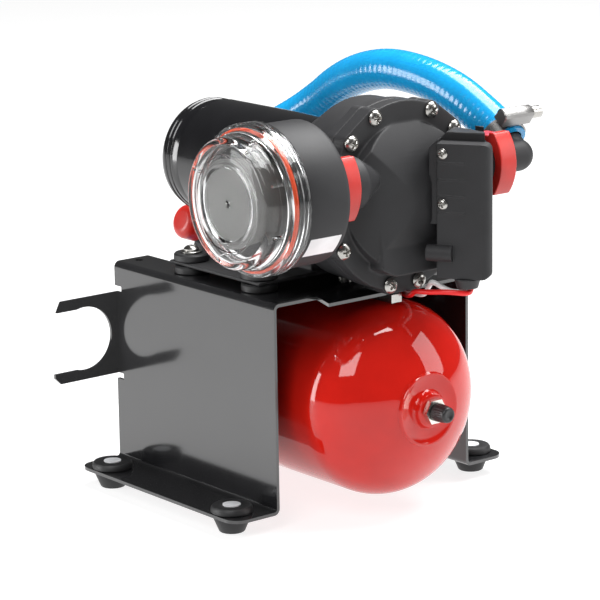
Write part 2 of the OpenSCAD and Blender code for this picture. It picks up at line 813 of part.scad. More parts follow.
module bobbin_screws() {
    washer_t = 1.2;
    color([0.8, 0.8, 0.8]) for (p = bobbin_places)
        translate([p[0], p[1], deck_z + bobbin_h]) {
            bar(0, washer_t, bobbin_neck_r);
            translate([0, 0, washer_t])
                pan_screw(foot_screw_r, bobbin_h + sheet_t + washer_t + 3, screw_head_r, screw_head_h);
        }
}

// Outline shared by the housing's and the cover's flanges: a circle with a flat lobe per screw pair
module head_outline() {
    circle(head_r);
    for (a = pair_angles) rotate(a) {
        translate([0, -lobe_half_w]) square([lobe_edge, 2 * lobe_half_w]);
        for (s = [-1, 1])
            translate([lobe_edge - lobe_r, s * lobe_half_w]) circle(lobe_r);
    }
}

module drive_housing() {
    color([0.12, 0.12, 0.13]) on_pump_axis() difference() {
        union() {
            bar(motor_f, drum_f + eps, neck_r);
            bar(drum_f, housing_f, head_r - 1.5);
            translate([0, 0, housing_f - housing_flange_t]) linear_extrude(housing_flange_t) head_outline();
        }
        bar(motor_f + bearing_h + 3, drum_f + 4, neck_r - 8);
        bar(drum_f + 3, housing_f + eps, drum_in_r);
        bar(motor_f - eps, motor_f + bearing_h, bearing_r + fit);
        bar(motor_f, motor_f + bearing_h + 4, shaft_r + 1);
        for (a = screw_angles)
            rotate(a) translate([screw_circle_r, 0])
                bar(housing_f - housing_flange_t + 1, housing_f + eps, screw_r + fit);
        for (s = [-1, 1])
            translate([0, s * bolt_circle_r]) bar(motor_f - eps, motor_f + 8, bolt_r + fit);
    }
}

// Solid outside of the dome, its flat panel and the two port fairings, on the pump's own axis
module dome_form() {
    intersection() {
        bar(housing_f + 1, dome_f + 1, dome_r);
        translate([0, 0, dome_f - dome_side_curve]) rotate([90, 0, 0])
            cylinder(h = 2.2 * dome_r, r = dome_side_curve, center = true);
        translate([0, -2, dome_f - dome_top_curve]) rotate([0, 90, 0])
            cylinder(h = 2.2 * dome_r, r = dome_top_curve, center = true);
    }
    intersection() {
        bar(housing_f + 1, panel_f, dome_r + 3);
        translate([-panel_half_w, 0]) rotate([90, 0, 90]) linear_extrude(2 * panel_half_w)
            polygon([[panel_low, housing_f], [panel_low, panel_f],
                     [panel_high, panel_f - panel_lean], [panel_high, housing_f]]);
    }
    intersection() {
        bar(housing_f + 0.5, dome_f + 2 * port_r, 2 * dome_r);
        for (s = [-1, 1])
            translate([0, port_up, head_front + port_ahead]) rotate([0, s * 90, 0]) {
                bar(fairing_shoulder, clip_in - slack, port_r);
                translate([0, 0, fairing_in])
                    cylinder(h = fairing_shoulder - fairing_in, r1 = port_r * 0.2, r2 = port_r);
                bar(clip_in - 2, neck_end, port_neck_r);
            }
    }
}

// Flange of the front cover on the pump's own axis
module cover_flange() { translate([0, 0, housing_f]) linear_extrude(cover_flange_t) head_outline(); }

module front_cover() {
    stack_f = housing_f + diaphragm_t + valve_plate_t;
    color([0.16, 0.16, 0.17]) on_pump_axis() difference() {
        union() {
            cover_flange();
            difference() {
                dome_form();
                for (a = screw_angles)
                    rotate(a) translate([screw_circle_r, 0]) bar(housing_f, dome_f, screw_head_r + slack);
            }
        }
        bar(housing_f - eps, stack_f, stack_r + fit);
        bar(stack_f - eps, cavity_f, cavity_r);
        for (s = [-1, 1]) {
            translate([0, port_up, passage_f]) rotate([0, s * 90, 0])
                bar(cavity_r * 0.6, fairing_shoulder + passage_r, passage_r);
            translate([0, port_up, head_front + port_ahead]) rotate([0, s * 90, 0]) {
                bar(fairing_shoulder, neck_end + eps, water_r);
                bar(socket_in, neck_end + eps, plug_r + fit);
            }
        }
        for (a = screw_angles)
            rotate(a) translate([screw_circle_r, 0]) bar(housing_f - eps, head_front + eps, screw_r + fit);
    }
}

module head_screws() {
    color([0.8, 0.8, 0.78]) on_pump_axis() for (a = screw_angles)
        rotate(a) translate([screw_circle_r, 0, head_front])
            pan_screw(screw_r, screw_depth, screw_head_r, screw_head_h);
}

module valve_plate() {
    back = housing_f + diaphragm_t;
    color([0.85, 0.85, 0.82]) on_pump_axis() difference() {
        bar(back, back + valve_plate_t, stack_r);
        for (a = chamber_angles)
            rotate(a) translate([chamber_circle_r, 0]) {
                bar(back - eps, back + valve_plate_t * 0.5, piston_r);
                for (h = [60:60:360])
                    rotate(h) translate([check_r * 0.6, 0]) bar(back, back + valve_plate_t + eps, 1.2);
                bar(back, back + valve_plate_t + eps, 1.5 + fit);
            }
    }
}

module check_valves() {
    back = housing_f + diaphragm_t + valve_plate_t;
    color([0.2, 0.2, 0.2]) on_pump_axis() for (a = chamber_angles)
        rotate(a) translate([chamber_circle_r, 0]) {
            bar(back, back + check_t, check_r);
            bar(back - valve_plate_t * 0.45, back + eps, 1.5);
        }
}

module diaphragm() {
    color([0.1, 0.1, 0.1]) on_pump_axis() bar(housing_f, housing_f + diaphragm_t, stack_r);
}

module wobble_plate() {
    color([0.8, 0.78, 0.7]) on_pump_axis() difference() {
        union() {
            bar(cam_bearing_f[0], wobble_f[1], cam_bearing_r + 3);
            bar(wobble_f[0], wobble_f[1], wobble_r - 6);
            for (a = chamber_angles)
                rotate(a) translate([chamber_circle_r, 0]) bar(wobble_f[0], piston_f, piston_r);
        }
        bar(cam_bearing_f[0] - eps, wobble_f[1] + eps, cam_bearing_r);
    }
}

module cam_bearing() {
    color([0.75, 0.75, 0.77]) on_pump_axis()
        tube(cam_bearing_f[0], cam_bearing_f[1], cam_bearing_r, cam_bearing_in_r);
}

module drive_cam() {
    middle = (cam_f[0] + cam_f[1]) / 2;
    half = (cam_f[1] - cam_f[0]) / 2;
    color([0.7, 0.7, 0.72]) on_pump_axis() difference() {
        union() {
            bar(cam_f[0] - 8, cam_f[0] + 0.5, cam_r + 2);
            translate([0, 0, middle]) rotate([cam_tilt, 0, 0]) bar(-half, half, cam_r);
        }
        bar(cam_f[0] - 9, cam_f[1] + 9, shaft_r);
    }
}

module motor_shaft() {
    color([0.75, 0.75, 0.77]) on_pump_axis() bar(bell_f + 4, cam_f[1] + 1, shaft_r);
}

module armature() {
    slots = 12;
    color([0.45, 0.45, 0.47]) on_pump_axis() difference() {
        tube(armature_f[0], armature_f[1], armature_r, shaft_r);
        for (i = [0:slots - 1])
            rotate(360 * i / slots) translate([armature_r, 0, armature_f[0] - eps])
                rotate(45) cube([2.4, 2.4, 2 * (armature_f[1] - armature_f[0])], center = true);
    }
}

module windings() {
    color([0.72, 0.4, 0.2]) on_pump_axis() {
        tube(armature_f[0] - winding_h, armature_f[0], winding_r, shaft_r);
        tube(armature_f[1], armature_f[1] + winding_h, winding_r, shaft_r);
    }
}

module commutator() {
    color([0.75, 0.5, 0.3]) on_pump_axis() tube(commutator_f[0], commutator_f[1], commutator_r, shaft_r);
}

module motor_can() {
    color([0.08, 0.08, 0.09]) on_pump_axis() tube(can_f, motor_f, motor_r, can_in_r);
}

module motor_magnets() {
    color([0.3, 0.3, 0.32]) on_pump_axis() difference() {
        tube(armature_f[0] - 2, armature_f[1] + 2, can_in_r - fit, magnet_in_r);
        translate([0, 0, (armature_f[0] + armature_f[1]) / 2])
            cube([2 * magnet_gap_half, 3 * motor_r, 2 * can_len], center = true);
    }
}

module motor_end_bell() {
    seat = bell_f + 3;
    color([0.08, 0.08, 0.09]) on_pump_axis() difference() {
        rotate_extrude() {
            translate([0, bell_f]) square([motor_r - bell_round, bell_len]);
            translate([0, bell_f + bell_round]) square([motor_r, bell_len - bell_round]);
            translate([motor_r - bell_round, bell_f + bell_round]) circle(bell_round);
        }
        bar(bell_f + bell_round + 3, can_f + eps, can_in_r);
        bar(seat, bell_f + bell_round + 4, bearing_r + fit);
        for (s = [-1, 1])
            translate([0, s * bolt_circle_r]) bar(bell_f - eps, can_f, bolt_r + fit);
    }
}

module motor_sleeve() {
    color([0.05, 0.05, 0.06]) on_pump_axis() tube(sleeve_f, sleeve_f + sleeve_len, sleeve_r, motor_r);
}

module brush_holder() {
    color([0.55, 0.45, 0.3]) on_pump_axis() difference() {
        tube(can_f + 2, can_f + 14, can_in_r - fit, commutator_r + 2);
        translate([0, 0, can_f + 8.5]) cube([4 * motor_r, 6 + 2 * fit, 9 + 2 * fit], center = true);
        for (s = [-1, 1])
            translate([0, s * bolt_circle_r]) bar(can_f, can_f + 16, bolt_r + fit);
    }
}

module brushes() {
    color([0.2, 0.2, 0.2]) on_pump_axis() for (s = [-1, 1])
        translate([s > 0 ? commutator_r + fit : -can_in_r + 2, -3, can_f + 4])
            cube([can_in_r - commutator_r - 2 - fit, 6, 9]);
}

module motor_bearings() {
    color([0.75, 0.75, 0.77]) on_pump_axis() {
        tube(motor_f, motor_f + bearing_h, bearing_r, shaft_r + fit / 2);
        tube(bell_f + 3.5, bell_f + 3.5 + bearing_h, bearing_r, shaft_r + fit / 2);
    }
}

module motor_bolts() {
    color([0.75, 0.75, 0.75]) on_pump_axis() for (s = [-1, 1])
        translate([0, s * bolt_circle_r, bell_f]) mirror([0, 0, 1])
            pan_screw(bolt_r, motor_f + 7 - bell_f, bolt_r * 1.8, 2.2);
}

// Wedge that carries the switch cover on the dome, cut to the head's own form
module switch_base() {
    color([0.13, 0.13, 0.14]) difference() {
        on_switch() {
            translate([0, 0, base_low]) linear_extrude(base_high - base_low)
                polygon([[-3, switch_d], [switch_w - switch_d / 2, switch_d],
                         [switch_w * 0.6, wedge_back], [-3, wedge_back]]);
            translate([-base_edge_w, base_edge_in, base_edge_low])
                cube([base_edge_w - fit, wedge_back - base_edge_in, base_high - base_edge_low]);
        }
        on_switch() translate([-base_edge_w, wedge_back / 2, base_high]) rotate([0, 45, 0])
            cube([base_chamfer, 2 * wedge_back, base_chamfer], center = true);
        on_pump_axis() {
            cover_flange();
            dome_form();
            for (a = screw_angles)
                rotate(a) translate([screw_circle_r, 0])
                    bar(head_front, dome_f + wedge_back, screw_head_r + slack);
        }
        on_switch() for (z = switch_screw_z)
            translate([switch_screw_x, switch_d, z]) rotate([-90, 0, 0]) bar(-eps, 3.5, switch_screw_r + fit);
        on_switch() translate([plunger_x, switch_d, plunger_z]) rotate([-90, 0, 0])
            bar(-eps, 6, plunger_r + fit);
    }
}

// Plan of the switch cover, pulled in by a wall: square towards the dome, round at its free end
module switch_plan(wall) {
    end_r = switch_d / 2;
    translate([wall, wall]) square([switch_w - end_r - wall, switch_d - 2 * wall]);
    translate([switch_w - end_r, end_r]) circle(end_r - wall);
}

module switch_cover() {
    color([0.12, 0.12, 0.13]) difference() {
        switch_case();
        on_pump_axis() dome_form();
    }
}

// Block with the outline of the switch cover's face, with round corners at its free end
module switch_face() {
    inner = switch_w - switch_corner_r;
    translate([0, switch_d + eps, switch_foot]) rotate([90, 0, 0]) linear_extrude(switch_d + 2 * eps) {
        translate([-eps, 0]) square([inner + eps, switch_h]);
        translate([0, switch_corner_r]) square([switch_w, switch_h - 2 * switch_corner_r]);
        for (z = [switch_corner_r, switch_h - switch_corner_r])
            translate([inner, z]) circle(switch_corner_r);
    }
}

// Switch cover before it is cut to the dome
module switch_case() {
    on_switch() difference() {
        union() {
            intersection() {
                translate([0, 0, switch_foot]) linear_extrude(switch_h) switch_plan(0);
                switch_face();
            }
            translate([adjuster_x, adjuster_y, adjuster_z]) rotate([0, 90, 0]) bar(0, 16, adjuster_r);
            for (z = rib_z)
                translate([1, -0.5, z]) cube([switch_w * 0.5, 1, 0.8]);
        }
        translate([0, 0, switch_foot + switch_wall]) linear_extrude(switch_h - 2 * switch_wall) difference() {
            switch_plan(switch_wall);
            translate([switch_screw_x - 3.5, 0]) square([6.5, switch_d]);
        }
        translate([switch_screw_x + 4, switch_wall, base_low + 4])
            cube([switch_w * 0.55, switch_d, switch_top - base_low - 12]);
        for (z = switch_screw_z)
            translate([switch_screw_x, 0, z]) rotate([-90, 0, 0])
                bar(-eps, switch_d + eps, switch_screw_r + fit);
        translate([adjuster_x - eps, adjuster_y, adjuster_z]) rotate([0, 90, 0]) bar(0, 12, adjuster_r - 2);
        translate(grommet_at)
            bar(switch_foot - eps, switch_foot + switch_wall + eps, lead_r * 2 + 1);
    }
}

module switch_screws() {
    color([0.8, 0.8, 0.78]) on_switch() for (z = switch_screw_z)
        translate([switch_screw_x, 0, z]) rotate([90, 0, 0]) pan_screw(switch_screw_r, switch_d + 3, 3.3, 2);
}

module switch_plunger() {
    color([0.85, 0.82, 0.75]) on_switch() translate([plunger_x, switch_d, plunger_z]) rotate([-90, 0, 0]) {
        bar(-4 + plunger_travel + slack, 5, plunger_r);
        bar(-3 + plunger_travel + slack, -1 - slack, plunger_r + 2);
    }
}

module micro_switch() {
    deep = switch_d - 4 - switch_wall;
    color([0.1, 0.1, 0.25]) on_switch()
        translate([plunger_x - 5, switch_wall, plunger_z - 12]) cube([12, deep, 24]);
}

module pressure_adjuster() {
    color([0.8, 0.78, 0.6]) on_switch()
        translate([adjuster_x + 1, adjuster_y, adjuster_z]) rotate([0, 90, 0]) difference() {
        bar(0, 10, adjuster_r - 2 - fit / 2);
        translate([-0.5, -adjuster_r, -eps]) cube([1, 2 * adjuster_r, 1.2 + eps]);
    }
}

module lead_grommet() {
    color([0.06, 0.06, 0.06]) on_switch() translate([grommet_at[0], grommet_at[1], switch_foot]) {
        difference() {
            translate([0, 0, -grommet_h]) cylinder(h = grommet_h, r1 = grommet_r * 0.8, r2 = grommet_r);
            for (s = [-1, 1])
                translate([s * lead_r * 1.25, 0]) {
                    bar(-grommet_h - eps, eps, lead_r + slack);
                    translate([0, 0, -grommet_h - eps])
                        cylinder(h = grommet_h * 0.7, r1 = lead_r + 4 * slack, r2 = lead_r + slack);
                }
        }
    }
}

// Point under the grommet where a lead starts
function lead_start(s, drop) =
    let (x = grommet_at[0] + s * lead_r * 1.25, y = grommet_at[1], c = cos(switch_turn), n = sin(switch_turn))
    [switch_corner[0] + c * x - n * y, switch_corner[1] + n * x + c * y, switch_foot - drop];

// Lead that starts in the grommet and ends on the motor's end bell
module lead(s, route) {
    top = route[len(route) - 1];
    meet = [top[0], top[1] + 2, pump_z - sqrt(motor_r * motor_r - top[0] * top[0]) - 2 * slack];
    path = concat([for (drop = [1, 4, 8]) lead_start(s, drop)], [for (p = route) p + [0, 0, deck_z]], [meet]);
    swept_bar(smooth(path, 3), lead_r, lead_sides, [1, 0, 0]);
}

module red_lead() { color([0.85, 0.1, 0.1]) lead(1, red_route); }

module white_lead() { color([0.9, 0.9, 0.9]) lead(-1, white_route); }

module strainer_body() {
    plug_in = socket_in + 0.5;
    color([0.15, 0.15, 0.16]) difference() {
        union() {
            on_port(-1) {
                bar(plug_in, neck_end + eps, plug_r);
                bar(neck_end, strainer_in + eps, strainer_neck_r);
                bar(strainer_in, strainer_out, strainer_r);
                bar(strainer_out - eps, nose_out, nose_r);
            }
            translate([-spigot_x, spigot_y, port_z]) rotate([-90, 0, 0]) {
                bar(-8, 0, spigot_r + 3.5);
                bar(-4, spigot_len, spigot_r);
            }
        }
        on_port(-1) {
            bar(plug_in - eps, strainer_in + 2 * strainer_wall, water_r);
            bar(strainer_in + strainer_wall, nose_out + eps, bowl_r);
        }
        translate([-spigot_x, port_y + bowl_r - 4, port_z]) rotate([-90, 0, 0])
            bar(0, spigot_len + strainer_r, spigot_r - 2);
    }
}

module strainer_cap() {
    rim_in = strainer_out + slack;
    shoulder = cap_rim_out - cap_wall;
    grooves = 3;
    color([0.85, 0.9, 0.92, 0.35]) on_port(-1) difference() {
        union() {
            bar(rim_in, cap_rim_out - 4, cap_rim_r);
            translate([0, 0, cap_rim_out - 4])
                cylinder(h = 4, r1 = cap_rim_r, r2 = cap_rim_r - 2.5);
            translate([0, 0, cap_rim_out - eps])
                cylinder(h = cap_nose_len - 3 + eps, r1 = cap_front_r + 3.5, r2 = cap_front_r + 1.5);
            translate([0, 0, cap_front - 3]) cylinder(h = 3, r1 = cap_front_r + 1.5, r2 = cap_front_r - 1);
            tube(cap_front - eps, cap_front + 1, cap_ring_r + 1, cap_ring_r - 1);
            bar(cap_front - eps, cap_front + 0.8, 1.5);
        }
        bar(rim_in - eps, nose_out + 2 * seal_r, cap_in_r);
        bar(nose_out, cap_front - cap_wall, cap_front_r - cap_wall + 1);
        for (i = [1:grooves])
            tube(rim_in + i * 3, rim_in + i * 3 + 0.8, cap_rim_r + 1, cap_rim_r - 0.6);
    }
}

module strainer_seal() {
    color([0.9, 0.3, 0.15]) on_port(-1) translate([0, 0, seal_x])
        rotate_extrude() translate([seal_ring_r, 0]) circle(seal_r - 0.05);
}

module strainer_screen() {
    from = strainer_in + strainer_wall;
    to = cap_front - cap_wall - slack;
    color([0.6, 0.6, 0.58]) on_port(-1) difference() {
        bar(from, to, screen_r);
        bar(from - eps, to - screen_t, screen_r - screen_t);
    }
}

// Red U clip that slides from the front over a port's neck
module slide_clip(side) {
    inner = port_neck_r + slack;
    arm = inner + clip_arm_t;
    bow = clip_curve - sqrt(pow(clip_curve, 2) - pow(clip_half_h, 2));
    color([0.85, 0.12, 0.1]) difference() {
        on_port(side) difference() {
            intersection() {
                translate([0, clip_curve - clip_reach]) bar(clip_in, clip_out, clip_curve);
                union() {
                    translate([-clip_half_h, -clip_reach - eps, clip_in])
                        cube([2 * clip_half_h, bow + clip_plate_t, clip_w]);
                    translate([-arm, -clip_reach - eps, clip_in])
                        cube([2 * arm, clip_reach + eps + port_ahead - slack, clip_w]);
                }
            }
            bar(clip_in - eps, clip_out + eps, inner);
            translate([-inner, 0, clip_in - eps]) cube([2 * inner, clip_reach, clip_w + 2 * eps]);
        }
        on_pump_axis() for (a = screw_angles)
            rotate(a) translate([screw_circle_r, 0])
                bar(head_front - eps, head_front + screw_head_h + slack, screw_head_r + slack);
    }
}

module inlet_clip() { slide_clip(-1); }

module outlet_clip() { slide_clip(1); }

// Barb with ribs along Z from a to b
module barb(a, b) {
    bar(a, b, barb_r - 0.8);
    for (z = [a + 1.5:5:b - 4])
        translate([0, 0, z]) cylinder(h = 4, r1 = barb_r, r2 = barb_r - 0.8);
}

module outlet_elbow() {
    color([0.12, 0.12, 0.13]) difference() {
        union() {
            on_port(1) {
                bar(socket_in + 0.5, neck_end + eps, plug_r);
                bar(neck_end, elbow_x, elbow_r);
            }
            translate(outlet_corner) sphere(elbow_r);
            on_outlet() {
                bar(0, elbow_r + 0.2, elbow_r - 1);
                barb(elbow_r, elbow_r + 12.5);
            }
        }
        on_port(1) bar(socket_in, elbow_x, water_r);
        on_outlet() bar(0, 40, water_r);
        translate(outlet_corner) sphere(water_r);
    }
}

module blue_hose() {
    lead_in = [for (d = [0, 10]) hose_start + d * outlet_dir];
    lead_out = [for (d = [9, 5, hose_stop_gap]) hose_end + d * riser_dir];
    color([0.15, 0.62, 0.9])
        swept_pipe(smooth(concat(lead_in, hose_route, lead_out), 3), hose_r, hose_bore_r, hose_sides,
                   [1, 0, 0]);
}

// Worm-drive clamp on the outlet: band, saddle and screw housing in one piece
module clamp_band() {
    band_r = hose_r + slack;
    lift = band_r + band_t + worm_r - 0.6;
    color([0.75, 0.75, 0.75]) on_outlet() difference() {
        union() {
            bar(clamp_at - band_w / 2, clamp_at + band_w / 2, band_r + band_t);
            translate([-worm_back, -lift, clamp_at]) rotate([0, 90, 0]) bar(0, worm_len, worm_r);
            translate([-worm_len * 0.3, -lift, clamp_at - band_w / 2])
                cube([worm_len * 0.6, lift - band_r * 0.8, band_w]);
        }
        bar(clamp_at - band_w, clamp_at + band_w, band_r);
        translate([-worm_back - eps, -lift, clamp_at]) rotate([0, 90, 0])
            bar(0, worm_len + 2 * eps, worm_r - 1.4);
    }
}

module clamp_screw() {
    lift = hose_r + slack + band_t + worm_r - 0.6;
    head_len = 8;
    color([0.75, 0.75, 0.75]) on_outlet()
        translate([-worm_back, -lift, clamp_at]) rotate([0, 90, 0]) difference() {
        union() {
            bar(1, worm_len + slack + eps, worm_r - 1.4 - fit / 2);
            bar(worm_len + slack, worm_len + head_len, worm_r - 0.8);
        }
        translate([-0.6, -worm_r, worm_len + head_len - 2]) cube([1.2, 2 * worm_r, 3]);
    }
}

module branch_tee() {
    color([0.12, 0.12, 0.13]) on_riser() difference() {
        union() {
            bar(tee_at - tee_half + 3, tee_at + tee_half, tee_r);
            translate([0, 0, tee_at + tee_half - eps]) barb(0, 9);
            translate([0, 0, tee_at - tee_half + 3 + eps]) mirror([0, 0, 1]) barb(0, 15);
            translate([0, 0, tee_at]) rotate([0, -90, 0]) bar(0, branch_len, tee_r);
            translate([0, 0, tee_at]) rotate([0, -90, 0]) bar(0, branch_len + 12, barb_r - 0.5);
        }
        bar(tee_at - tee_half - 14, tee_at + tee_half + 22, water_r);
        translate([0, 0, tee_at]) rotate([0, -90, 0]) bar(0, branch_len + 14, water_r - 1);
    }
}

module branch_cap() {
    rim = branch_len + slack;
    color([0.86, 0.12, 0.1]) on_riser() translate([0, 0, tee_at]) rotate([0, -90, 0]) difference() {
        union() {
            bar(rim, rim + plug_cap_len - 2, plug_cap_r);
            translate([0, 0, rim + plug_cap_len - 2])
                cylinder(h = 2, r1 = plug_cap_r, r2 = plug_cap_r - 2);
        }
        bar(rim - eps, branch_len + 12 + slack, barb_r - 0.5 + fit);
    }
}

module tank_elbow() {
    color([0.12, 0.12, 0.13]) difference() {
        union() {
            on_tank_axis() bar(-tank_back - 2, -tank_back + 4, barb_r);
            on_tank_axis() bar(-riser_y, -tank_back - 1, elbow_r - 1);
            translate(riser_corner) sphere(elbow_r - 0.8);
            on_riser() {
                bar(0, lower_from - slack, elbow_r - 1);
                translate([0, 0, lower_from - slack - eps]) barb(0, 14);
            }
        }
        on_tank_axis() bar(-riser_y, -tank_back + 5, water_r - 1);
        on_riser() bar(0, lower_from + 20, water_r - 1);
        translate(riser_corner) sphere(water_r - 0.9);
    }
}

module riser_hose() {
    color([0.15, 0.62, 0.9]) on_riser() tube(lower_from, lower_to + 2, hose_r, barb_r + fit);
}

carrier_frame();
floor_feet();
foot_inserts();
tank_front_shell();
tank_back_shell();
tank_membrane();
tank_rail();
rail_screws();
valve_stem();
valve_nut();
valve_pin();
valve_cap();
pump_base();
pump_bobbins();
bobbin_screws();
drive_housing();
front_cover();
head_screws();
valve_plate();
check_valves();
diaphragm();
wobble_plate();
cam_bearing();
drive_cam();
motor_shaft();
armature();
windings();
commutator();
motor_can();
motor_magnets();
motor_end_bell();
motor_sleeve();
brush_holder();
brushes();
motor_bearings();
motor_bolts();
switch_base();
switch_cover();
switch_screws();
switch_plunger();
micro_switch();
pressure_adjuster();
lead_grommet();
red_lead();
white_lead();
strainer_body();
strainer_cap();
strainer_seal();
strainer_screen();
inlet_clip();
outlet_clip();
outlet_elbow();
blue_hose();
clamp_band();
clamp_screw();
branch_tee();
branch_cap();
tank_elbow();
riser_hose();
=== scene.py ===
import json
import math

import bmesh
import bpy
from mathutils import Matrix, Vector


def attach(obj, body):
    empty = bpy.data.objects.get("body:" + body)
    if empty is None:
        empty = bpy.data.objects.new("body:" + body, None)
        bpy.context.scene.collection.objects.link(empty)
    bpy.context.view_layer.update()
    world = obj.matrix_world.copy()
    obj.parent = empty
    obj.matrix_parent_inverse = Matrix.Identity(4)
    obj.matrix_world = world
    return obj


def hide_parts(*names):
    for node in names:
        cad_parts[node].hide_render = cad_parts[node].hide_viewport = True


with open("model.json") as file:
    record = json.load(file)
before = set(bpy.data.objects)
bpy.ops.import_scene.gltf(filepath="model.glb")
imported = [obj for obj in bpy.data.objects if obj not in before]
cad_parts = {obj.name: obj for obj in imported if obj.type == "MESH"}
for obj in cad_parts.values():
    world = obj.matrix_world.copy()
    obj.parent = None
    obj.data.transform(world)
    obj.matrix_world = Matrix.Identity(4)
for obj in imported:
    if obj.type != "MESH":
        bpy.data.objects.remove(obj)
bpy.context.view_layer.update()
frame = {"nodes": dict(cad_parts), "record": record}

NODES = frame["nodes"]
BODY_OF = {n: b for b, ns in frame["record"]["behaviour"]["bodies"].items() for n in ns}
SLOT_OF = {s["node"]: s["material_slot"] for s in frame["record"]["subparts"]}
SCENE = bpy.context.scene

# Sizes and places in mm that several pieces share
MM = 0.001
FORWARD = (0, -1, 0)
LEFT = (-1, 0, 0)
UP = (0, 0, 1)
BOTH_SIDES = (-1, 1)
PUMP_Z = 199.5
TANK_Z = 72.0
PORT_Y = -116.0
PORT_Z = 214.0
COVER_SEAT_Y = -110.0
PUMP_AXIS = (0, 0, PUMP_Z)
TANK_AXIS = (0, 0, TANK_Z)
PORT_AXIS = (0, PORT_Y, PORT_Z)
MOTOR_R = 36.5
BOBBIN_X = 59.0
BOBBIN_YS = (-44.5, 23.5)
BOBBIN_Z = 140.0
LEAN = math.radians(20.0)
RISER = Vector((math.sin(LEAN), 0.0, math.cos(LEAN)))
RISER_FOOT = Vector((0.0, 110.0, TANK_Z))
TEE_AT = 74.0
TEE_TOP = 96.0
TILT = math.radians(38.0)
OUTLET = Vector((0.0, math.cos(TILT), math.sin(TILT)))
OUTLET_CORNER = Vector((86.5, PORT_Y, PORT_Z))
ELBOW_R = 10.0
SWITCH_TURN = math.radians(-57.0)
SWITCH_CORNER = Vector((7.5, -131.0, 0.0))
SWITCH_X = Vector((math.cos(SWITCH_TURN), math.sin(SWITCH_TURN), 0.0))
SWITCH_Y = Vector((-math.sin(SWITCH_TURN), math.cos(SWITCH_TURN), 0.0))
SWITCH_FOOT = 151.5


# Camera at the photograph's angle
def make_camera():
    azimuth = math.radians(-38.52)
    elevation = math.radians(12.6)
    roll = math.radians(-0.94)
    distance = 1.79036
    aim_height = 0.14
    focal_px = 2843.38
    picture_px = 600.0
    shift_right_px = 10.42
    shift_down_px = 36.37
    level = math.cos(elevation)
    back = Vector((math.sin(azimuth) * level, -math.cos(azimuth) * level, math.sin(elevation)))
    forward = -back
    flat_right = forward.cross(Vector(UP)).normalized()
    flat_up = flat_right.cross(forward)
    right = math.cos(roll) * flat_right + math.sin(roll) * flat_up
    up = math.cos(roll) * flat_up - math.sin(roll) * flat_right
    aim = (forward + right * (shift_right_px / focal_px) - up * (shift_down_px / focal_px)).normalized()
    side = (right - aim * right.dot(aim)).normalized()
    top = side.cross(aim)
    data = bpy.data.cameras.new("camera")
    data.sensor_width = 36.0
    data.lens = focal_px * data.sensor_width / picture_px
    data.clip_end = 50.0
    camera = bpy.data.objects.new("camera", data)
    SCENE.collection.objects.link(camera)
    place = Vector((0, 0, aim_height)) + back * distance
    turn = Matrix((side, top, -aim)).transposed().to_4x4()
    camera.matrix_world = Matrix.Translation(place) @ turn
    SCENE.camera = camera


make_camera()


# Materials, by the name of their slot
FINISHES = {}


def noise(tree, scale, detail):
    node = tree.nodes.new("ShaderNodeTexNoise")
    node.inputs["Scale"].default_value = scale
    node.inputs["Detail"].default_value = detail
    return node


def finish(name, base, rough, metal=0.0, spread=0.12, grain=1400.0, bump=0.05, depth=0.0002,
           rough_spread=0.08, ior=1.5, coat=0.0, coat_rough=0.05, clear=0.0, subsurface=0.0):
    """A material whose colour and roughness drift a little, with a fine grain."""
    m = bpy.data.materials.new(name)
    m.use_nodes = True
    tree = m.node_tree
    shader = tree.nodes["Principled BSDF"]
    shader.inputs["Metallic"].default_value = metal
    shader.inputs["IOR"].default_value = ior
    shader.inputs["Coat Weight"].default_value = coat
    shader.inputs["Coat Roughness"].default_value = coat_rough
    shader.inputs["Transmission Weight"].default_value = clear
    shader.inputs["Subsurface Weight"].default_value = subsurface
    shader.inputs["Subsurface Radius"].default_value = (0.004, 0.004, 0.004)
    where = tree.nodes.new("ShaderNodeTexCoord")
    drift = noise(tree, scale=60.0, detail=4.0)
    ramp = tree.nodes.new("ShaderNodeValToRGB")
    dark, light = ramp.color_ramp.elements
    dark.position = 0.3
    dark.color = (*[max(c * (1 - spread), 0.0) for c in base], 1)
    light.position = 0.7
    light.color = (*[min(c * (1 + spread), 1.0) for c in base], 1)
    uneven = tree.nodes.new("ShaderNodeMapRange")
    uneven.inputs["To Min"].default_value = max(rough - rough_spread / 2, 0.0)
    uneven.inputs["To Max"].default_value = min(rough + rough_spread / 2, 1.0)
    fine = noise(tree, scale=grain, detail=2.0)
    lift = tree.nodes.new("ShaderNodeBump")
    lift.inputs["Strength"].default_value = bump
    lift.inputs["Distance"].default_value = depth
    link = tree.links.new
    link(where.outputs["Object"], drift.inputs["Vector"])
    link(where.outputs["Object"], fine.inputs["Vector"])
    link(drift.outputs["Fac"], ramp.inputs["Fac"])
    link(ramp.outputs["Color"], shader.inputs["Base Color"])
    link(drift.outputs["Fac"], uneven.inputs["Value"])
    link(uneven.outputs["Result"], shader.inputs["Roughness"])
    link(fine.outputs["Fac"], lift.inputs["Height"])
    link(lift.outputs["Normal"], shader.inputs["Normal"])
    FINISHES[name] = m
    return m


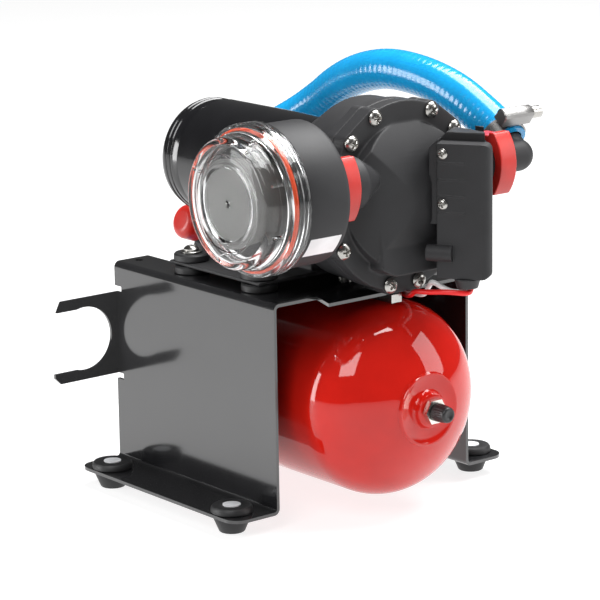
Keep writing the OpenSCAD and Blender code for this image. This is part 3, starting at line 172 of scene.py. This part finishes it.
# Materials of shaped pieces
RUBBER = finish("black_rubber", (0.012, 0.012, 0.013), 0.5, grain=1800.0, bump=0.1)
RED_PAINT = finish("red_enamel", (0.52, 0.011, 0.006), 0.05, spread=0.05, grain=300.0, bump=0.02,
                   rough_spread=0.03)
ZINC = finish("zinc_steel", (0.42, 0.41, 0.39), 0.26, metal=1.0, grain=2200.0, bump=0.05)
CLAMP_STEEL = finish("clamp_steel", (0.27, 0.265, 0.26), 0.32, metal=1.0, grain=2200.0, bump=0.05)
CAP_BLACK = finish("cap_black", (0.012, 0.011, 0.012), 0.35)
HEAD = finish("head_plastic", (0.02, 0.02, 0.0215), 0.55, grain=2600.0, bump=0.22, depth=0.00015, ior=1.4)
MOTOR = finish("motor_black", (0.006, 0.006, 0.007), 0.16, grain=500.0, bump=0.04, coat=0.4,
               coat_rough=0.08)
CLEAR = finish("clear_plastic", (0.97, 0.98, 0.98), 0.07, spread=0.01, rough_spread=0.02, bump=0.0,
               ior=1.38, clear=1.0)
RED_PLASTIC = finish("red_plastic", (0.5, 0.018, 0.012), 0.32, grain=900.0, bump=0.08)
HOSE = finish("blue_hose", (0.009, 0.3, 0.62), 0.18, spread=0.05, grain=300.0, bump=0.0, subsurface=0.25)
RED_WIRE = finish("red_wire", (0.68, 0.012, 0.012), 0.35)
WHITE_WIRE = finish("white_wire", (0.8, 0.8, 0.8), 0.4)
STICKER = finish("sticker", (0.75, 0.73, 0.74), 0.45)

# Materials that only the nodes as built take
finish("carrier_paint", (0.012, 0.012, 0.013), 0.13, grain=500.0, bump=0.02, rough_spread=0.04, ior=1.7,
       coat=0.55, coat_rough=0.1)
finish("white_nylon", (0.75, 0.76, 0.78), 0.4)
finish("nickel", (0.66, 0.63, 0.58), 0.2, metal=1.0)
finish("valve_brass", (0.7, 0.52, 0.24), 0.25, metal=1.0)
finish("machined_steel", (0.6, 0.6, 0.62), 0.3, metal=1.0)
finish("copper", (0.7, 0.3, 0.14), 0.32, metal=1.0)
finish("dark_ferrite", (0.06, 0.06, 0.065), 0.6)
finish("inner_plastic", (0.2, 0.14, 0.07), 0.5)
finish("orange_seal", (0.8, 0.07, 0.01), 0.35)
finish("screen_mesh", (0.13, 0.125, 0.12), 0.5, grain=1500.0, bump=0.5)
for node_name, node in NODES.items():
    node.data.materials.clear()
    node.data.materials.append(FINISHES[SLOT_OF[node_name]])


# Building blocks
def add_piece(name, mesh, material, body, nodes=(), sharp=35.0):
    """A visible piece on a body, in place of nodes; edges past the sharp angle stay crisp."""
    mesh.materials.clear()
    mesh.materials.append(material)
    mesh.shade_smooth()
    mesh.set_sharp_from_angle(angle=math.radians(sharp))
    ob = bpy.data.objects.new(name, mesh)
    SCENE.collection.objects.link(ob)
    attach(ob, body)
    if nodes:
        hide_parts(*nodes)
    return ob


def to_mesh(bm, name):
    bmesh.ops.recalc_face_normals(bm, faces=bm.faces)
    mesh = bpy.data.meshes.new(name)
    bm.to_mesh(mesh)
    bm.free()
    return mesh


def axes_of(axis):
    """Two directions across an axis, and the axis itself."""
    axis = Vector(axis).normalized()
    hint = Vector((0, 0, 1)) if abs(axis.z) < 0.9 else Vector((1, 0, 0))
    u = hint.cross(axis).normalized()
    return u, axis.cross(u), axis


def turns(count):
    return [2 * math.pi * k / count for k in range(count)]


def bridge(bm, a, b):
    """Faces between two rings of points, where a ring of one point is a pole."""
    count = max(len(a), len(b))
    faces = []
    for k in range(count):
        m = (k + 1) % count
        corners = (a[k % len(a)], a[m % len(a)], b[m % len(b)], b[k % len(b)])
        face = list(dict.fromkeys(corners))
        if len(face) > 2:
            faces.append(bm.faces.new(face))
    return faces


def lathe(bm, profile, origin, axis, segments, loop=False):
    """Turns (radius, distance) pairs in mm about an axis."""
    u, v, w = axes_of(axis)
    rings = []
    for r, t in profile:
        centre = Vector(origin) + w * t
        angles = turns(segments) if r > 0 else [0.0]
        points = [centre + r * (math.cos(a) * u + math.sin(a) * v) for a in angles]
        rings.append([bm.verts.new(p * MM) for p in points])
    for a, b in zip(rings, rings[1:]):
        bridge(bm, a, b)
    if loop:
        bridge(bm, rings[-1], rings[0])


def turned(name, profile, origin, axis, material, body, nodes, segments, loop=False):
    bm = bmesh.new()
    lathe(bm, profile, origin, axis, segments, loop)
    return add_piece(name, to_mesh(bm, name), material, body, nodes)


def arc(centre, radius, start, end, steps):
    """Points of a profile's arc, angles in degrees from the outward radius."""
    out = []
    for i in range(steps + 1):
        a = math.radians(start + (end - start) * i / steps)
        out.append((centre[0] + radius * math.cos(a), centre[1] + radius * math.sin(a)))
    return out


def moulded(node, voxel, rounds):
    """A copy of a node whose edges and corners are softened as in a mould."""
    ob = bpy.data.objects.new(node + "_work", NODES[node].data.copy())
    SCENE.collection.objects.link(ob)
    remesh = ob.modifiers.new("remesh", "REMESH")
    remesh.mode = "VOXEL"
    remesh.voxel_size = voxel * MM
    smooth = ob.modifiers.new("smooth", "SMOOTH")
    smooth.factor = 0.5
    smooth.iterations = rounds
    thin = ob.modifiers.new("thin", "DECIMATE")
    thin.ratio = 0.5
    graph = bpy.context.evaluated_depsgraph_get()
    mesh = bpy.data.meshes.new_from_object(ob.evaluated_get(graph))
    bpy.data.objects.remove(ob)
    return add_piece(node + "_moulded", mesh, FINISHES[SLOT_OF[node]], BODY_OF[node], [node], 60.0)


def curve_point(a, b, c, d, t):
    """A point between b and c on the smooth curve through four points."""
    square = 2 * a - 5 * b + 4 * c - d
    cube = 3 * b - a - 3 * c + d
    return 0.5 * (2 * b + (c - a) * t + square * t * t + cube * t ** 3)


def smooth_route(points, steps):
    p = [Vector(q) for q in points]
    last = len(p) - 1
    out = []
    for i in range(last):
        for s in range(steps):
            out.append(curve_point(p[max(i - 1, 0)], p[i], p[i + 1], p[min(i + 2, last)], s / steps))
    return out + [p[last]]


def resample(points, gap):
    """The same line with points a fixed distance apart."""
    out = [points[0].copy()]
    left = gap
    for a, b in zip(points, points[1:]):
        span = (b - a).length
        done = 0.0
        while span - done >= left:
            done += left
            out.append(a.lerp(b, done / span))
            left = gap
        left -= span - done
    if (out[-1] - points[-1]).length > gap * 0.3:
        out.append(points[-1].copy())
    return out


def swept(bm, line, sides, radius):
    """Rings of a tube along a line in mm; radius(i, k) gives each point's radius."""
    rings = []
    side = Vector((1, 0, 0))
    last = len(line) - 1
    for i, p in enumerate(line):
        tangent = (line[min(i + 1, last)] - line[max(i - 1, 0)]).normalized()
        side = (side - tangent * side.dot(tangent)).normalized()
        other = tangent.cross(side)
        ring = []
        for k, a in enumerate(turns(sides)):
            out = math.cos(a) * side + math.sin(a) * other
            ring.append(bm.verts.new((p + radius(i, k) * out) * MM))
        rings.append(ring)
    for a, b in zip(rings, rings[1:]):
        bridge(bm, a, b)
    return rings


# Blue hose with its fine winding
HOSE_ROUTE = [(84.5, -83.5, 237), (82.5, -66.5, 246), (80.5, -48.5, 252), (78.5, -30, 255.5),
              (76.5, -11.5, 256.5), (75.5, 6.5, 254), (75.5, 24.5, 248.5), (75.5, 41, 240.5),
              (74.5, 56.5, 230), (70.5, 71.5, 219.5), (63.5, 85.5, 210), (54, 98.5, 200), (44, 107, 187)]


def make_hose():
    outer, inner, sides = 12.9, 9.85, 48
    pitch, groove, gap = 4.2, 0.14, 0.7
    start = OUTLET_CORNER + (ELBOW_R + 0.5) * OUTLET
    end = RISER_FOOT + TEE_TOP * RISER
    lead_in = [start, start + 10 * OUTLET]
    lead_out = [end + d * RISER for d in (9, 5, 0.3)]
    line = resample(smooth_route(lead_in + HOSE_ROUTE + lead_out, 30), gap)

    def wound(i, k):
        phase = 2 * math.pi * (i * gap / pitch - k / sides)
        return outer - groove * (0.5 + 0.5 * math.cos(phase)) ** 4

    bm = bmesh.new()
    outside = swept(bm, line, sides, wound)
    inside = swept(bm, line, sides, lambda i, k: inner)
    for end_ring in (0, -1):
        bridge(bm, outside[end_ring], inside[end_ring])
    ob = add_piece("hose", to_mesh(bm, "hose"), HOSE, "set", ["blue_hose"], 50.0)


make_hose()


# Leads from the grommet under the deck to the motor
RED_ROUTE = [(18.5, -144, 142.8), (10, -136.5, 143.6), (5, -126, 142.6), (3.5, -116.5, 141.6),
             (6, -109, 137.8), (10, -100, 135.6), (12, -88, 135.5), (12, -60, 135.6), (12, 0, 135.6),
             (12, 40, 135.6), (12, 55, 135.9), (12, 62, 140.5), (11, 68.5, 150), (10, 74, 160)]
WHITE_ROUTE = [(17, -134.5, 142.5), (13.5, -128.5, 145), (11.5, -122.5, 147), (13.5, -116.5, 142.5),
               (16, -109, 136.6), (18, -95, 135.2), (18, -60, 135.2), (18, 0, 135.2), (18, 40, 135.2),
               (18, 55, 135.7), (18, 62, 140.5), (17, 68.5, 150), (16, 74, 160)]


def switch_point(x, y, z):
    """A place given from the switch's corner, along its face and into it."""
    return SWITCH_CORNER + SWITCH_X * x + SWITCH_Y * y + Vector((0, 0, z))


def make_lead(name, sign, route, node, material):
    lead_r, sides, gap = 1.6, 16, 1.5
    grommet_x, grommet_y, spacing = 17.25, 6.0, 2.0
    stop_gap, past_route = 0.6, 2.0
    top = Vector(route[-1])
    can_z = PUMP_Z - math.sqrt(MOTOR_R ** 2 - top.x ** 2)
    meet = Vector((top.x, top.y + past_route, can_z - stop_gap))
    hole_x = grommet_x + sign * spacing
    starts = [switch_point(hole_x, grommet_y, SWITCH_FOOT - drop) for drop in (1, 4, 8)]
    line = resample(smooth_route(starts + route + [meet], 20), gap)
    bm = bmesh.new()
    rings = swept(bm, line, sides, lambda i, k: lead_r)
    bm.faces.new(rings[0][::-1])
    bm.faces.new(rings[-1])
    ob = add_piece(name, to_mesh(bm, name), material, "set", [node], 50.0)


make_lead("lead_red", 1, RED_ROUTE, "red_lead", RED_WIRE)
make_lead("lead_white", -1, WHITE_ROUTE, "white_lead", WHITE_WIRE)


# Tank with dished ends
def tank_profile(crown, seam):
    """Profile from the crown's middle to the seam; distances along the tank's axis."""
    tank_r, crown_r, knuckle_r = 61.0, 75.0, 38.0
    crown_steps, knuckle_steps, wall_steps = 18, 16, 4
    seam_in = 0.6
    sign = 1 if crown > seam else -1
    between = crown_r - knuckle_r
    knuckle_out = tank_r - knuckle_r
    meet = math.asin(knuckle_out / between)
    centre = crown - sign * crown_r
    knuckle = centre + sign * between * math.cos(meet)
    out = []
    for i in range(crown_steps + 1):
        a = meet * i / crown_steps
        out.append((crown_r * math.sin(a), centre + sign * crown_r * math.cos(a)))
    for i in range(1, knuckle_steps + 1):
        a = meet + (math.pi / 2 - meet) * i / knuckle_steps
        out.append((knuckle_out + knuckle_r * math.sin(a), knuckle + sign * knuckle_r * math.cos(a)))
    straight = abs(seam - knuckle) - seam_in
    for i in range(1, wall_steps + 1):
        out.append((tank_r, knuckle - sign * straight * i / wall_steps))
    out.append((tank_r - 0.4, seam))
    return out


def make_tank():
    front_crown, back_crown, seam, segments = 134.0, -91.0, 21.5, 160
    boss = [(4.2, 135.3), (9.8, 135.3), (10.5, 135.0), (10.9, 134.3), (11.1, 132.6), (11.6, 131.7)]
    dish_low, dish_rise, dish_middle_r, dish_run = 131.0, 1.3, 13.0, 8.6
    dish = []
    for r in (12.4, 14, 16, 18, 19.5, 20.8, 21.6):
        dish.append((r, dish_low + dish_rise * ((r - dish_middle_r) / dish_run) ** 2))
    rim = [(22.2, 132.2), (22.6, 131.7), (22.8, 131.0), (23.0, 130.45)]
    shell_from_r = 23.4
    front = [p for p in tank_profile(front_crown, seam) if p[0] > shell_from_r]
    turned("tank_front", boss + dish + rim + front, TANK_AXIS, FORWARD, RED_PAINT, "set",
           ["tank_front_shell"], segments)
    port = (9.4, -90.4)
    back = [p for p in tank_profile(back_crown, seam) if p[0] > port[0] + 0.2]
    turned("tank_back", [port] + back, TANK_AXIS, FORWARD, RED_PAINT, "set", ["tank_back_shell"], segments)


make_tank()


# Cap of the air valve: tapered, with grip grooves and a dimple
def make_valve_cap():
    outside = [(5.3, 139.3), (5.6, 139.7), (5.6, 140.4), (5.55, 141.2), (5.4, 144.0), (5.1, 147.0),
               (4.9, 148.4), (4.75, 149.2), (4.4, 149.9), (3.7, 150.2), (2.8, 150.2)]
    dimple = [(2.3, 149.8), (0.0, 149.6)]
    bore_r, bore_from, bore_to = 4.2, 139.3, 148.4
    profile = [(bore_r, bore_from)] + outside + dimple + [(0.0, bore_to), (bore_r, bore_to)]
    bm = bmesh.new()
    lathe(bm, profile, TANK_AXIS, FORWARD, 144, loop=True)
    grips, groove, grip_from, grip_to, least_r = 18, 0.35, 140.8, 148.0, 4.6
    for vert in bm.verts:
        x, z = vert.co.x / MM, vert.co.z / MM - TANK_Z
        r = math.hypot(x, z)
        if r > least_r and grip_from < -vert.co.y / MM < grip_to:
            share = 1 - groove * max(math.cos(grips * math.atan2(z, x)), 0.0) / r
            vert.co.x = x * share * MM
            vert.co.z = (TANK_Z + z * share) * MM
    add_piece("valve_grip", to_mesh(bm, "valve_grip"), CAP_BLACK, "valve_cap", ["valve_cap"], 50.0)


make_valve_cap()


# Clear strainer cap as one closed shell, with grip ribs
def make_strainer_cap():
    rim_r, groove_r = 44.3, 43.7
    groove_count, first_groove, groove_step = 3, 112.9, 2.9
    rim = [(41.35, 110.4), (43.4, 110.4), (44.1, 110.9), (rim_r, 111.8)]
    for i in range(groove_count):
        s = first_groove + groove_step * i
        rim += [(rim_r, s), (groove_r, s + 0.35), (groove_r, s + 0.85), (rim_r, s + 1.2)]
    shoulder = [(rim_r, 120.5), (44.1, 121.6), (43.4, 122.8), (42.2, 123.7), (40.8, 124.2), (40.0, 124.6),
                (39.4, 125.4), (38.1, 132.9)]
    nose = arc((34.4, 133.55), 3.75, 10, 90, 8)
    face = [(28.8, 137.3), (28.3, 137.7), (27.5, 137.7), (27.0, 137.3), (24.4, 137.3), (23.8, 137.8),
            (23.2, 138.25), (22.1, 138.25), (21.4, 137.7), (20.8, 136.9), (2.4, 136.7), (1.5, 137.8),
            (0.0, 138.0)]
    inside = [(0.0, 134.9), (20.0, 134.9), (32.4, 134.9), (33.8, 134.2), (34.4, 132.8), (34.45, 121.6),
              (35.2, 120.8), (41.1, 120.75), (41.35, 120.3)]
    bm = bmesh.new()
    lathe(bm, rim + shoulder + nose + face + inside, PORT_AXIS, LEFT, 144, loop=True)
    rib_count, rib_r, rib_at = 8, 39.0, 129.0
    rib_size = (7.0, 1.6, 1.4)
    for k in range(rib_count):
        a = 2 * math.pi * (k + 0.5) / rib_count
        place = Vector((-rib_at, PORT_Y + rib_r * math.cos(a), PORT_Z + rib_r * math.sin(a))) * MM
        shape = Matrix.Diagonal((*[s * MM for s in rib_size], 1.0))
        pose = Matrix.Translation(place) @ Matrix.Rotation(a, 4, "X")
        bmesh.ops.create_cube(bm, size=1.0, matrix=pose @ shape)
    add_piece("cap_clear", to_mesh(bm, "cap_clear"), CLEAR, "strainer_cap", ["strainer_cap"])


make_strainer_cap()


# Strainer body with its inlet spigot
def make_strainer_body():
    bore_r, cup_r = 7.5, 37.0
    neck = [(10.6, 52.2), (10.8, 52.6), (10.8, 67.6), (15.5, 67.6), (16.0, 68.1), (16.0, 78.2), (16.4, 79.3),
            (17.5, 80.0)]
    cup = [(39.4, 80.0), (41.2, 80.6), (41.9, 81.8), (42.0, 83.4), (42.0, 109.0), (41.7, 109.7),
           (41.2, 110.0), (41.2, 117.1), (40.9, 117.5)]
    inside = [(cup_r, 117.5), (cup_r, 83.0), (bore_r, 83.0)]
    bm = bmesh.new()
    lathe(bm, [(bore_r, 52.2)] + neck + cup + inside, PORT_AXIS, LEFT, 128, loop=True)
    barb_r, root_r = 9.5, 8.8
    spigot = [(bore_r, -3.0), (bore_r, 34.0), (8.6, 34.0)]
    for barb in (32.0, 27.0, 22.0):
        spigot += [(barb_r, barb), (barb_r, barb - 2.5), (root_r, barb - 2.8)]
    spigot += [(root_r, 5.0), (9.6, 4.2), (12.6, 4.0), (13.0, 3.5), (13.0, -1.5)]
    spigot_foot = (-96.5, PORT_Y + 40.0, PORT_Z)
    lathe(bm, spigot, spigot_foot, (0, 1, 0), 64)
    add_piece("strainer_shell", to_mesh(bm, "strainer_shell"), HEAD, "set", ["strainer_body"])


make_strainer_body()


# Blank sticker low on the strainer's front
def make_sticker():
    radius, rows, cols = 42.06, 16, 8
    from_degrees, degrees = 207, 19
    from_along, length = 84, 22.5
    bm = bmesh.new()
    grid = []
    for i in range(rows + 1):
        a = math.radians(from_degrees + degrees * i / rows)
        row = []
        for j in range(cols + 1):
            s = from_along + length * j / cols
            place = Vector((-s, PORT_Y + radius * math.cos(a), PORT_Z + radius * math.sin(a)))
            row.append(bm.verts.new(place * MM))
        grid.append(row)
    for i in range(rows):
        for j in range(cols):
            bm.faces.new((grid[i][j], grid[i + 1][j], grid[i + 1][j + 1], grid[i][j + 1]))
    add_piece("strainer_sticker", to_mesh(bm, "strainer_sticker"), STICKER, "set")


make_sticker()


# Motor's end bell with two raised rings, and the sleeve
def make_motor():
    bell_back, bell_round, segments = -89.0, 9.0, 128
    flat_r, ring_r, skin_r = MOTOR_R - bell_round, MOTOR_R + 0.5, MOTOR_R + 0.8
    bell = [(0.0, bell_back), (flat_r - 1.0, bell_back), (flat_r, bell_back)]
    bell += arc((flat_r, bell_back + bell_round), bell_round, -80, -8, 12)
    for f in (-79.5, -75.5):
        bell += [(MOTOR_R, f - 1.1), (ring_r, f - 0.6), (ring_r, f + 0.6), (MOTOR_R, f + 1.1)]
    bell += [(MOTOR_R, -67.6), (MOTOR_R - 0.4, -67.0)]
    turned("end_bell", bell, PUMP_AXIS, FORWARD, MOTOR, "set", ["motor_end_bell"], segments)
    back, front, edge = -66.0, 40.0, 0.4
    sleeve = [(MOTOR_R, back), (ring_r, back), (skin_r, back + edge), (skin_r, front - edge), (ring_r, front),
              (MOTOR_R, front)]
    turned("sleeve", sleeve, PUMP_AXIS, FORWARD, MOTOR, "set", ["motor_sleeve"], segments)


make_motor()


# Rubber feet and bobbins
def make_feet():
    foot_x, foot_y = 97.0, 62.0
    below = [(5.5, 0.0), (7.4, 0.0), (8.0, 0.5), (11.4, 8.6), (11.6, 9.6), (11.2, 10.0), (8.0, 10.0)]
    above = [(8.0, 12.0), (12.2, 12.0), (12.9, 12.5), (13.0, 13.4), (12.7, 15.2), (11.8, 16.3),
             (10.6, 16.5), (6.4, 16.5), (5.5, 16.2)]
    bm = bmesh.new()
    for sx in BOTH_SIDES:
        for sy in BOTH_SIDES:
            lathe(bm, below + above, (sx * foot_x, sy * foot_y, 0), UP, 64, loop=True)
    add_piece("feet", to_mesh(bm, "feet"), RUBBER, "set", ["floor_feet"])


def make_bobbins():
    below = [(2.6, 0.0), (10.6, 0.0), (11.2, 0.6), (11.2, 4.0), (10.4, 5.0), (6.8, 5.0)]
    above = [(6.8, 7.5), (10.4, 7.5), (11.2, 8.4), (11.2, 11.6), (10.4, 12.5), (2.6, 12.6)]
    bm = bmesh.new()
    for sx in BOTH_SIDES:
        for y in BOBBIN_YS:
            lathe(bm, below + above, (sx * BOBBIN_X, y, BOBBIN_Z), UP, 48, loop=True)
    add_piece("bobbins", to_mesh(bm, "bobbins"), RUBBER, "set", ["pump_bobbins"])


make_feet()
make_bobbins()


# Pan-head screws with a cross recess
def head_height(x, y, head_r, head_h, twist):
    """Height of a rounded head over its seat, less the cross recess."""
    flat_share, edge_drop, roundness = 0.25, 0.62, 2.4
    arm_half, arm_reach, arm_spread = 0.13 * head_r, 0.56 * head_r, 1.35
    end_slope, side_slope, least_share = 0.5, 0.35, 0.25
    recess = 0.62 * head_h
    outward = max((math.hypot(x, y) / head_r - flat_share) / (1 - flat_share), 0.0)
    height = head_h * (1 - edge_drop * outward ** roundness)
    along = abs(x * math.cos(twist) + y * math.sin(twist))
    across = abs(y * math.cos(twist) - x * math.sin(twist))
    near, far = min(along, across), max(along, across)
    if near >= arm_half * arm_spread:
        return height
    end_share = min(max((arm_reach - far) / end_slope, 0.0), 1.0)
    side_share = min(max((arm_half - near) / side_slope, 0.0) + least_share, 1.0)
    return height - recess * end_share * side_share


def pan_screw(bm, place, axis, head_r, head_h, shank_r, shank, twist):
    rings, segments, shank_sides, overlap = 14, 48, 16, 0.2
    u, v, w = axes_of(axis)
    place = Vector(place)
    grid = []
    for i in range(rings + 1):
        r = head_r * i / rings
        row = []
        for a in turns(segments if i else 1):
            x, y = r * math.cos(a), r * math.sin(a)
            height = head_height(x, y, head_r, head_h, twist)
            row.append(bm.verts.new((place + u * x + v * y + w * height) * MM))
        grid.append(row)
    seat = []
    for a in turns(segments):
        edge = place + u * head_r * math.cos(a) + v * head_r * math.sin(a)
        seat.append(bm.verts.new(edge * MM))
    grid.append(seat)
    for a, b in zip(grid, grid[1:]):
        bridge(bm, a, b)
    bm.faces.new(seat[::-1])
    pin = [(0.0, -shank), (shank_r, -shank), (shank_r, overlap), (0.0, overlap)]
    lathe(bm, pin, place, w, shank_sides)


def make_cover_screws():
    circle_r, half_gap = 54.0, 12
    bm = bmesh.new()
    for i, middle in enumerate((54, 126, 198, 270, 342)):
        for s in (-half_gap, half_gap):
            a = math.radians(middle + s)
            place = (circle_r * math.cos(a), COVER_SEAT_Y, PUMP_Z + circle_r * math.sin(a))
            pan_screw(bm, place, FORWARD, head_r=5.0, head_h=3.2, shank_r=2.2, shank=15.5,
                      twist=0.5 * i + 0.05 * s)
    add_piece("cover_screws", to_mesh(bm, "cover_screws"), ZINC, "set", ["head_screws"], 40.0)


def make_switch_screws():
    screw_x = 3.6
    bm = bmesh.new()
    for height in (45.0, 75.3):
        place = switch_point(screw_x, 0, SWITCH_FOOT + height)
        pan_screw(bm, place, -SWITCH_Y, head_r=3.3, head_h=2.0, shank_r=1.6, shank=14.5, twist=0.3)
    add_piece("case_screws", to_mesh(bm, "case_screws"), ZINC, "set", ["switch_screws"], 40.0)


def make_bobbin_screws():
    seat_z = 153.8
    washer = [(2.5, -1.2), (6.4, -1.2), (6.8, -0.9), (6.8, -0.3), (6.4, 0.0), (2.5, 0.0)]
    bm = bmesh.new()
    for sx in BOTH_SIDES:
        for y in BOBBIN_YS:
            place = (sx * BOBBIN_X, y, seat_z)
            pan_screw(bm, place, UP, head_r=5.0, head_h=3.2, shank_r=2.5, shank=18.5, twist=0.4)
            lathe(bm, washer, place, UP, 48, loop=True)
    add_piece("foot_screws", to_mesh(bm, "foot_screws"), ZINC, "set", ["bobbin_screws"], 40.0)


make_cover_screws()
make_switch_screws()
make_bobbin_screws()

# Plastic mouldings, with the cell size in mm and the rounds of smoothing
moulded("front_cover", 0.6, 6)
moulded("drive_housing", 0.7, 5)
moulded("switch_cover", 0.3, 5)
moulded("switch_base", 0.5, 3)
moulded("inlet_clip", 0.4, 5)
moulded("outlet_clip", 0.4, 5)
moulded("outlet_elbow", 0.5, 4)
moulded("lead_grommet", 0.4, 4)
moulded("branch_tee", 0.5, 4)
moulded("tank_elbow", 0.5, 4)
moulded("pump_base", 0.8, 3)


# Worm clamp: slotted band and housing
CLAMP_ACROSS = Vector((1, 0, 0))
CLAMP_DOWN = Vector((0, math.sin(TILT), -math.cos(TILT)))
CLAMP_MIDDLE = OUTLET_CORNER + (ELBOW_R + 6.5) * OUTLET


def make_band(bm):
    inner, outer, half, count = 13.3, 14.2, 4.5, 84
    slot_half, slot_edge, slot_depth = half * 0.55, 0.12, 0.5
    section = [(inner, -half), (outer, -half), (outer, -slot_half), (outer, slot_half), (outer, half),
               (inner, half)]
    slot_face = 2
    rings = []
    for a in turns(count):
        out = CLAMP_ACROSS * math.cos(a) + CLAMP_DOWN * math.sin(a)
        rings.append([bm.verts.new((CLAMP_MIDDLE + out * r + OUTLET * t) * MM) for r, t in section])
    slots = []
    for k in range(count):
        faces = bridge(bm, rings[k], rings[(k + 1) % count])
        if k % 2:
            slots.append(faces[slot_face])
    for face in slots:
        bmesh.ops.inset_individual(bm, faces=[face], thickness=slot_edge * MM)
        centre = face.calc_center_median() - CLAMP_MIDDLE * MM
        inward = -(centre - OUTLET * centre.dot(OUTLET)).normalized()
        for vert in face.verts:
            vert.co += inward * slot_depth * MM


def make_worm_housing(bm):
    lift = 18.2
    middle = CLAMP_MIDDLE - CLAMP_DOWN * lift
    section = [(-4.4, -1.6), (-4.4, 2.4), (-3.3, 4.0), (-1.4, 4.7), (1.4, 4.7), (3.3, 4.0), (4.4, 2.4),
               (4.4, -1.6), (4.6, -4.4), (-4.6, -4.4)]
    stations = [(-12.0, 0.9), (-11.4, 1.0), (-4.0, 1.0), (4.0, 1.0), (11.2, 1.0), (12.0, 0.94)]
    loops = []
    for x, grow in stations:
        centre = middle + CLAMP_ACROSS * x
        points = [centre + OUTLET * t * grow - CLAMP_DOWN * h * grow for t, h in section]
        loops.append([bm.verts.new(p * MM) for p in points])
    for a, b in zip(loops, loops[1:]):
        bridge(bm, a, b)
    bm.faces.new(loops[0][::-1])
    bm.faces.new(loops[-1])


def make_clamp():
    bm = bmesh.new()
    make_band(bm)
    make_worm_housing(bm)
    add_piece("clamp", to_mesh(bm, "clamp"), CLAMP_STEEL, "set", ["clamp_band"], 30.0)


make_clamp()


# Red cap on the branch behind the deck, and the riser's stub of hose
def make_branch_cap():
    cap_r, bore_r, round_r = 11.5, 8.95, 5.8
    mouth, bore_end, round_from = 16.3, 28.3, 24.5
    branch = Vector((-math.cos(LEAN), 0, math.sin(LEAN)))
    edge = 0.7
    profile = [(0.0, bore_end), (bore_r, bore_end), (bore_r, mouth), (cap_r - edge, mouth),
               (cap_r, mouth + edge), (cap_r, round_from)]
    profile += arc((cap_r - round_r, round_from), round_r, 0, 90, 10)
    profile += [(0.0, round_from + round_r)]
    turned("branch_plug", profile, RISER_FOOT + TEE_AT * RISER, branch, RED_PLASTIC, "branch_cap",
           ["branch_cap"], 72)


def make_riser():
    stub = [(9.9, 20.0), (12.6, 20.0), (12.9, 20.4), (12.9, 53.6), (12.6, 54.0), (9.9, 54.0)]
    turned("riser_tube", stub, RISER_FOOT, RISER, HOSE, "set", ["riser_hose"], 72, loop=True)


make_branch_cap()
make_riser()


# Floor, lights and backdrop
def make_floor():
    bm = bmesh.new()
    bmesh.ops.create_grid(bm, x_segments=2, y_segments=2, size=6.0)
    mesh = bpy.data.meshes.new("floor")
    bm.to_mesh(mesh)
    bm.free()
    floor = bpy.data.objects.new("floor", mesh)
    floor.location.z = -0.0004
    SCENE.collection.objects.link(floor)
    pale = finish("floor_white", (0.3, 0.3, 0.3), 0.5, spread=0.01, bump=0.0)
    shader = pale.node_tree.nodes["Principled BSDF"]
    shader.inputs["Emission Color"].default_value = (1.0, 1.0, 1.0, 1)
    shader.inputs["Emission Strength"].default_value = 0.82
    mesh.materials.append(pale)


def make_backdrop():
    world = bpy.data.worlds.new("studio")
    world.use_nodes = True
    sky = world.node_tree.nodes["Background"]
    sky.inputs["Color"].default_value = (1.0, 1.0, 1.0, 1)
    sky.inputs["Strength"].default_value = 0.08
    SCENE.world = world
    SCENE.view_settings.view_transform = "Standard"


def add_light(name, place, aim_height, size, energy):
    data = bpy.data.lights.new(name, "AREA")
    data.shape = "RECTANGLE"
    data.size, data.size_y = size
    data.energy = energy
    ob = bpy.data.objects.new(name, data)
    SCENE.collection.objects.link(ob)
    ob.location = place
    ob.rotation_mode = "QUATERNION"
    ob.rotation_quaternion = (Vector((0, 0, aim_height)) - Vector(place)).to_track_quat("-Z", "Y")


make_floor()
make_backdrop()
add_light("key", (-1.4, -0.9, 1.5), 0.12, (1.0, 1.0), 22)
add_light("fill", (1.5, -1.3, 0.8), 0.12, (0.8, 1.2), 12)
add_light("top", (0.7, -0.1, 1.8), 0.1, (1.6, 1.4), 85)
add_light("side", (-1.5, 0.9, 0.4), 0.2, (0.7, 0.9), 20)
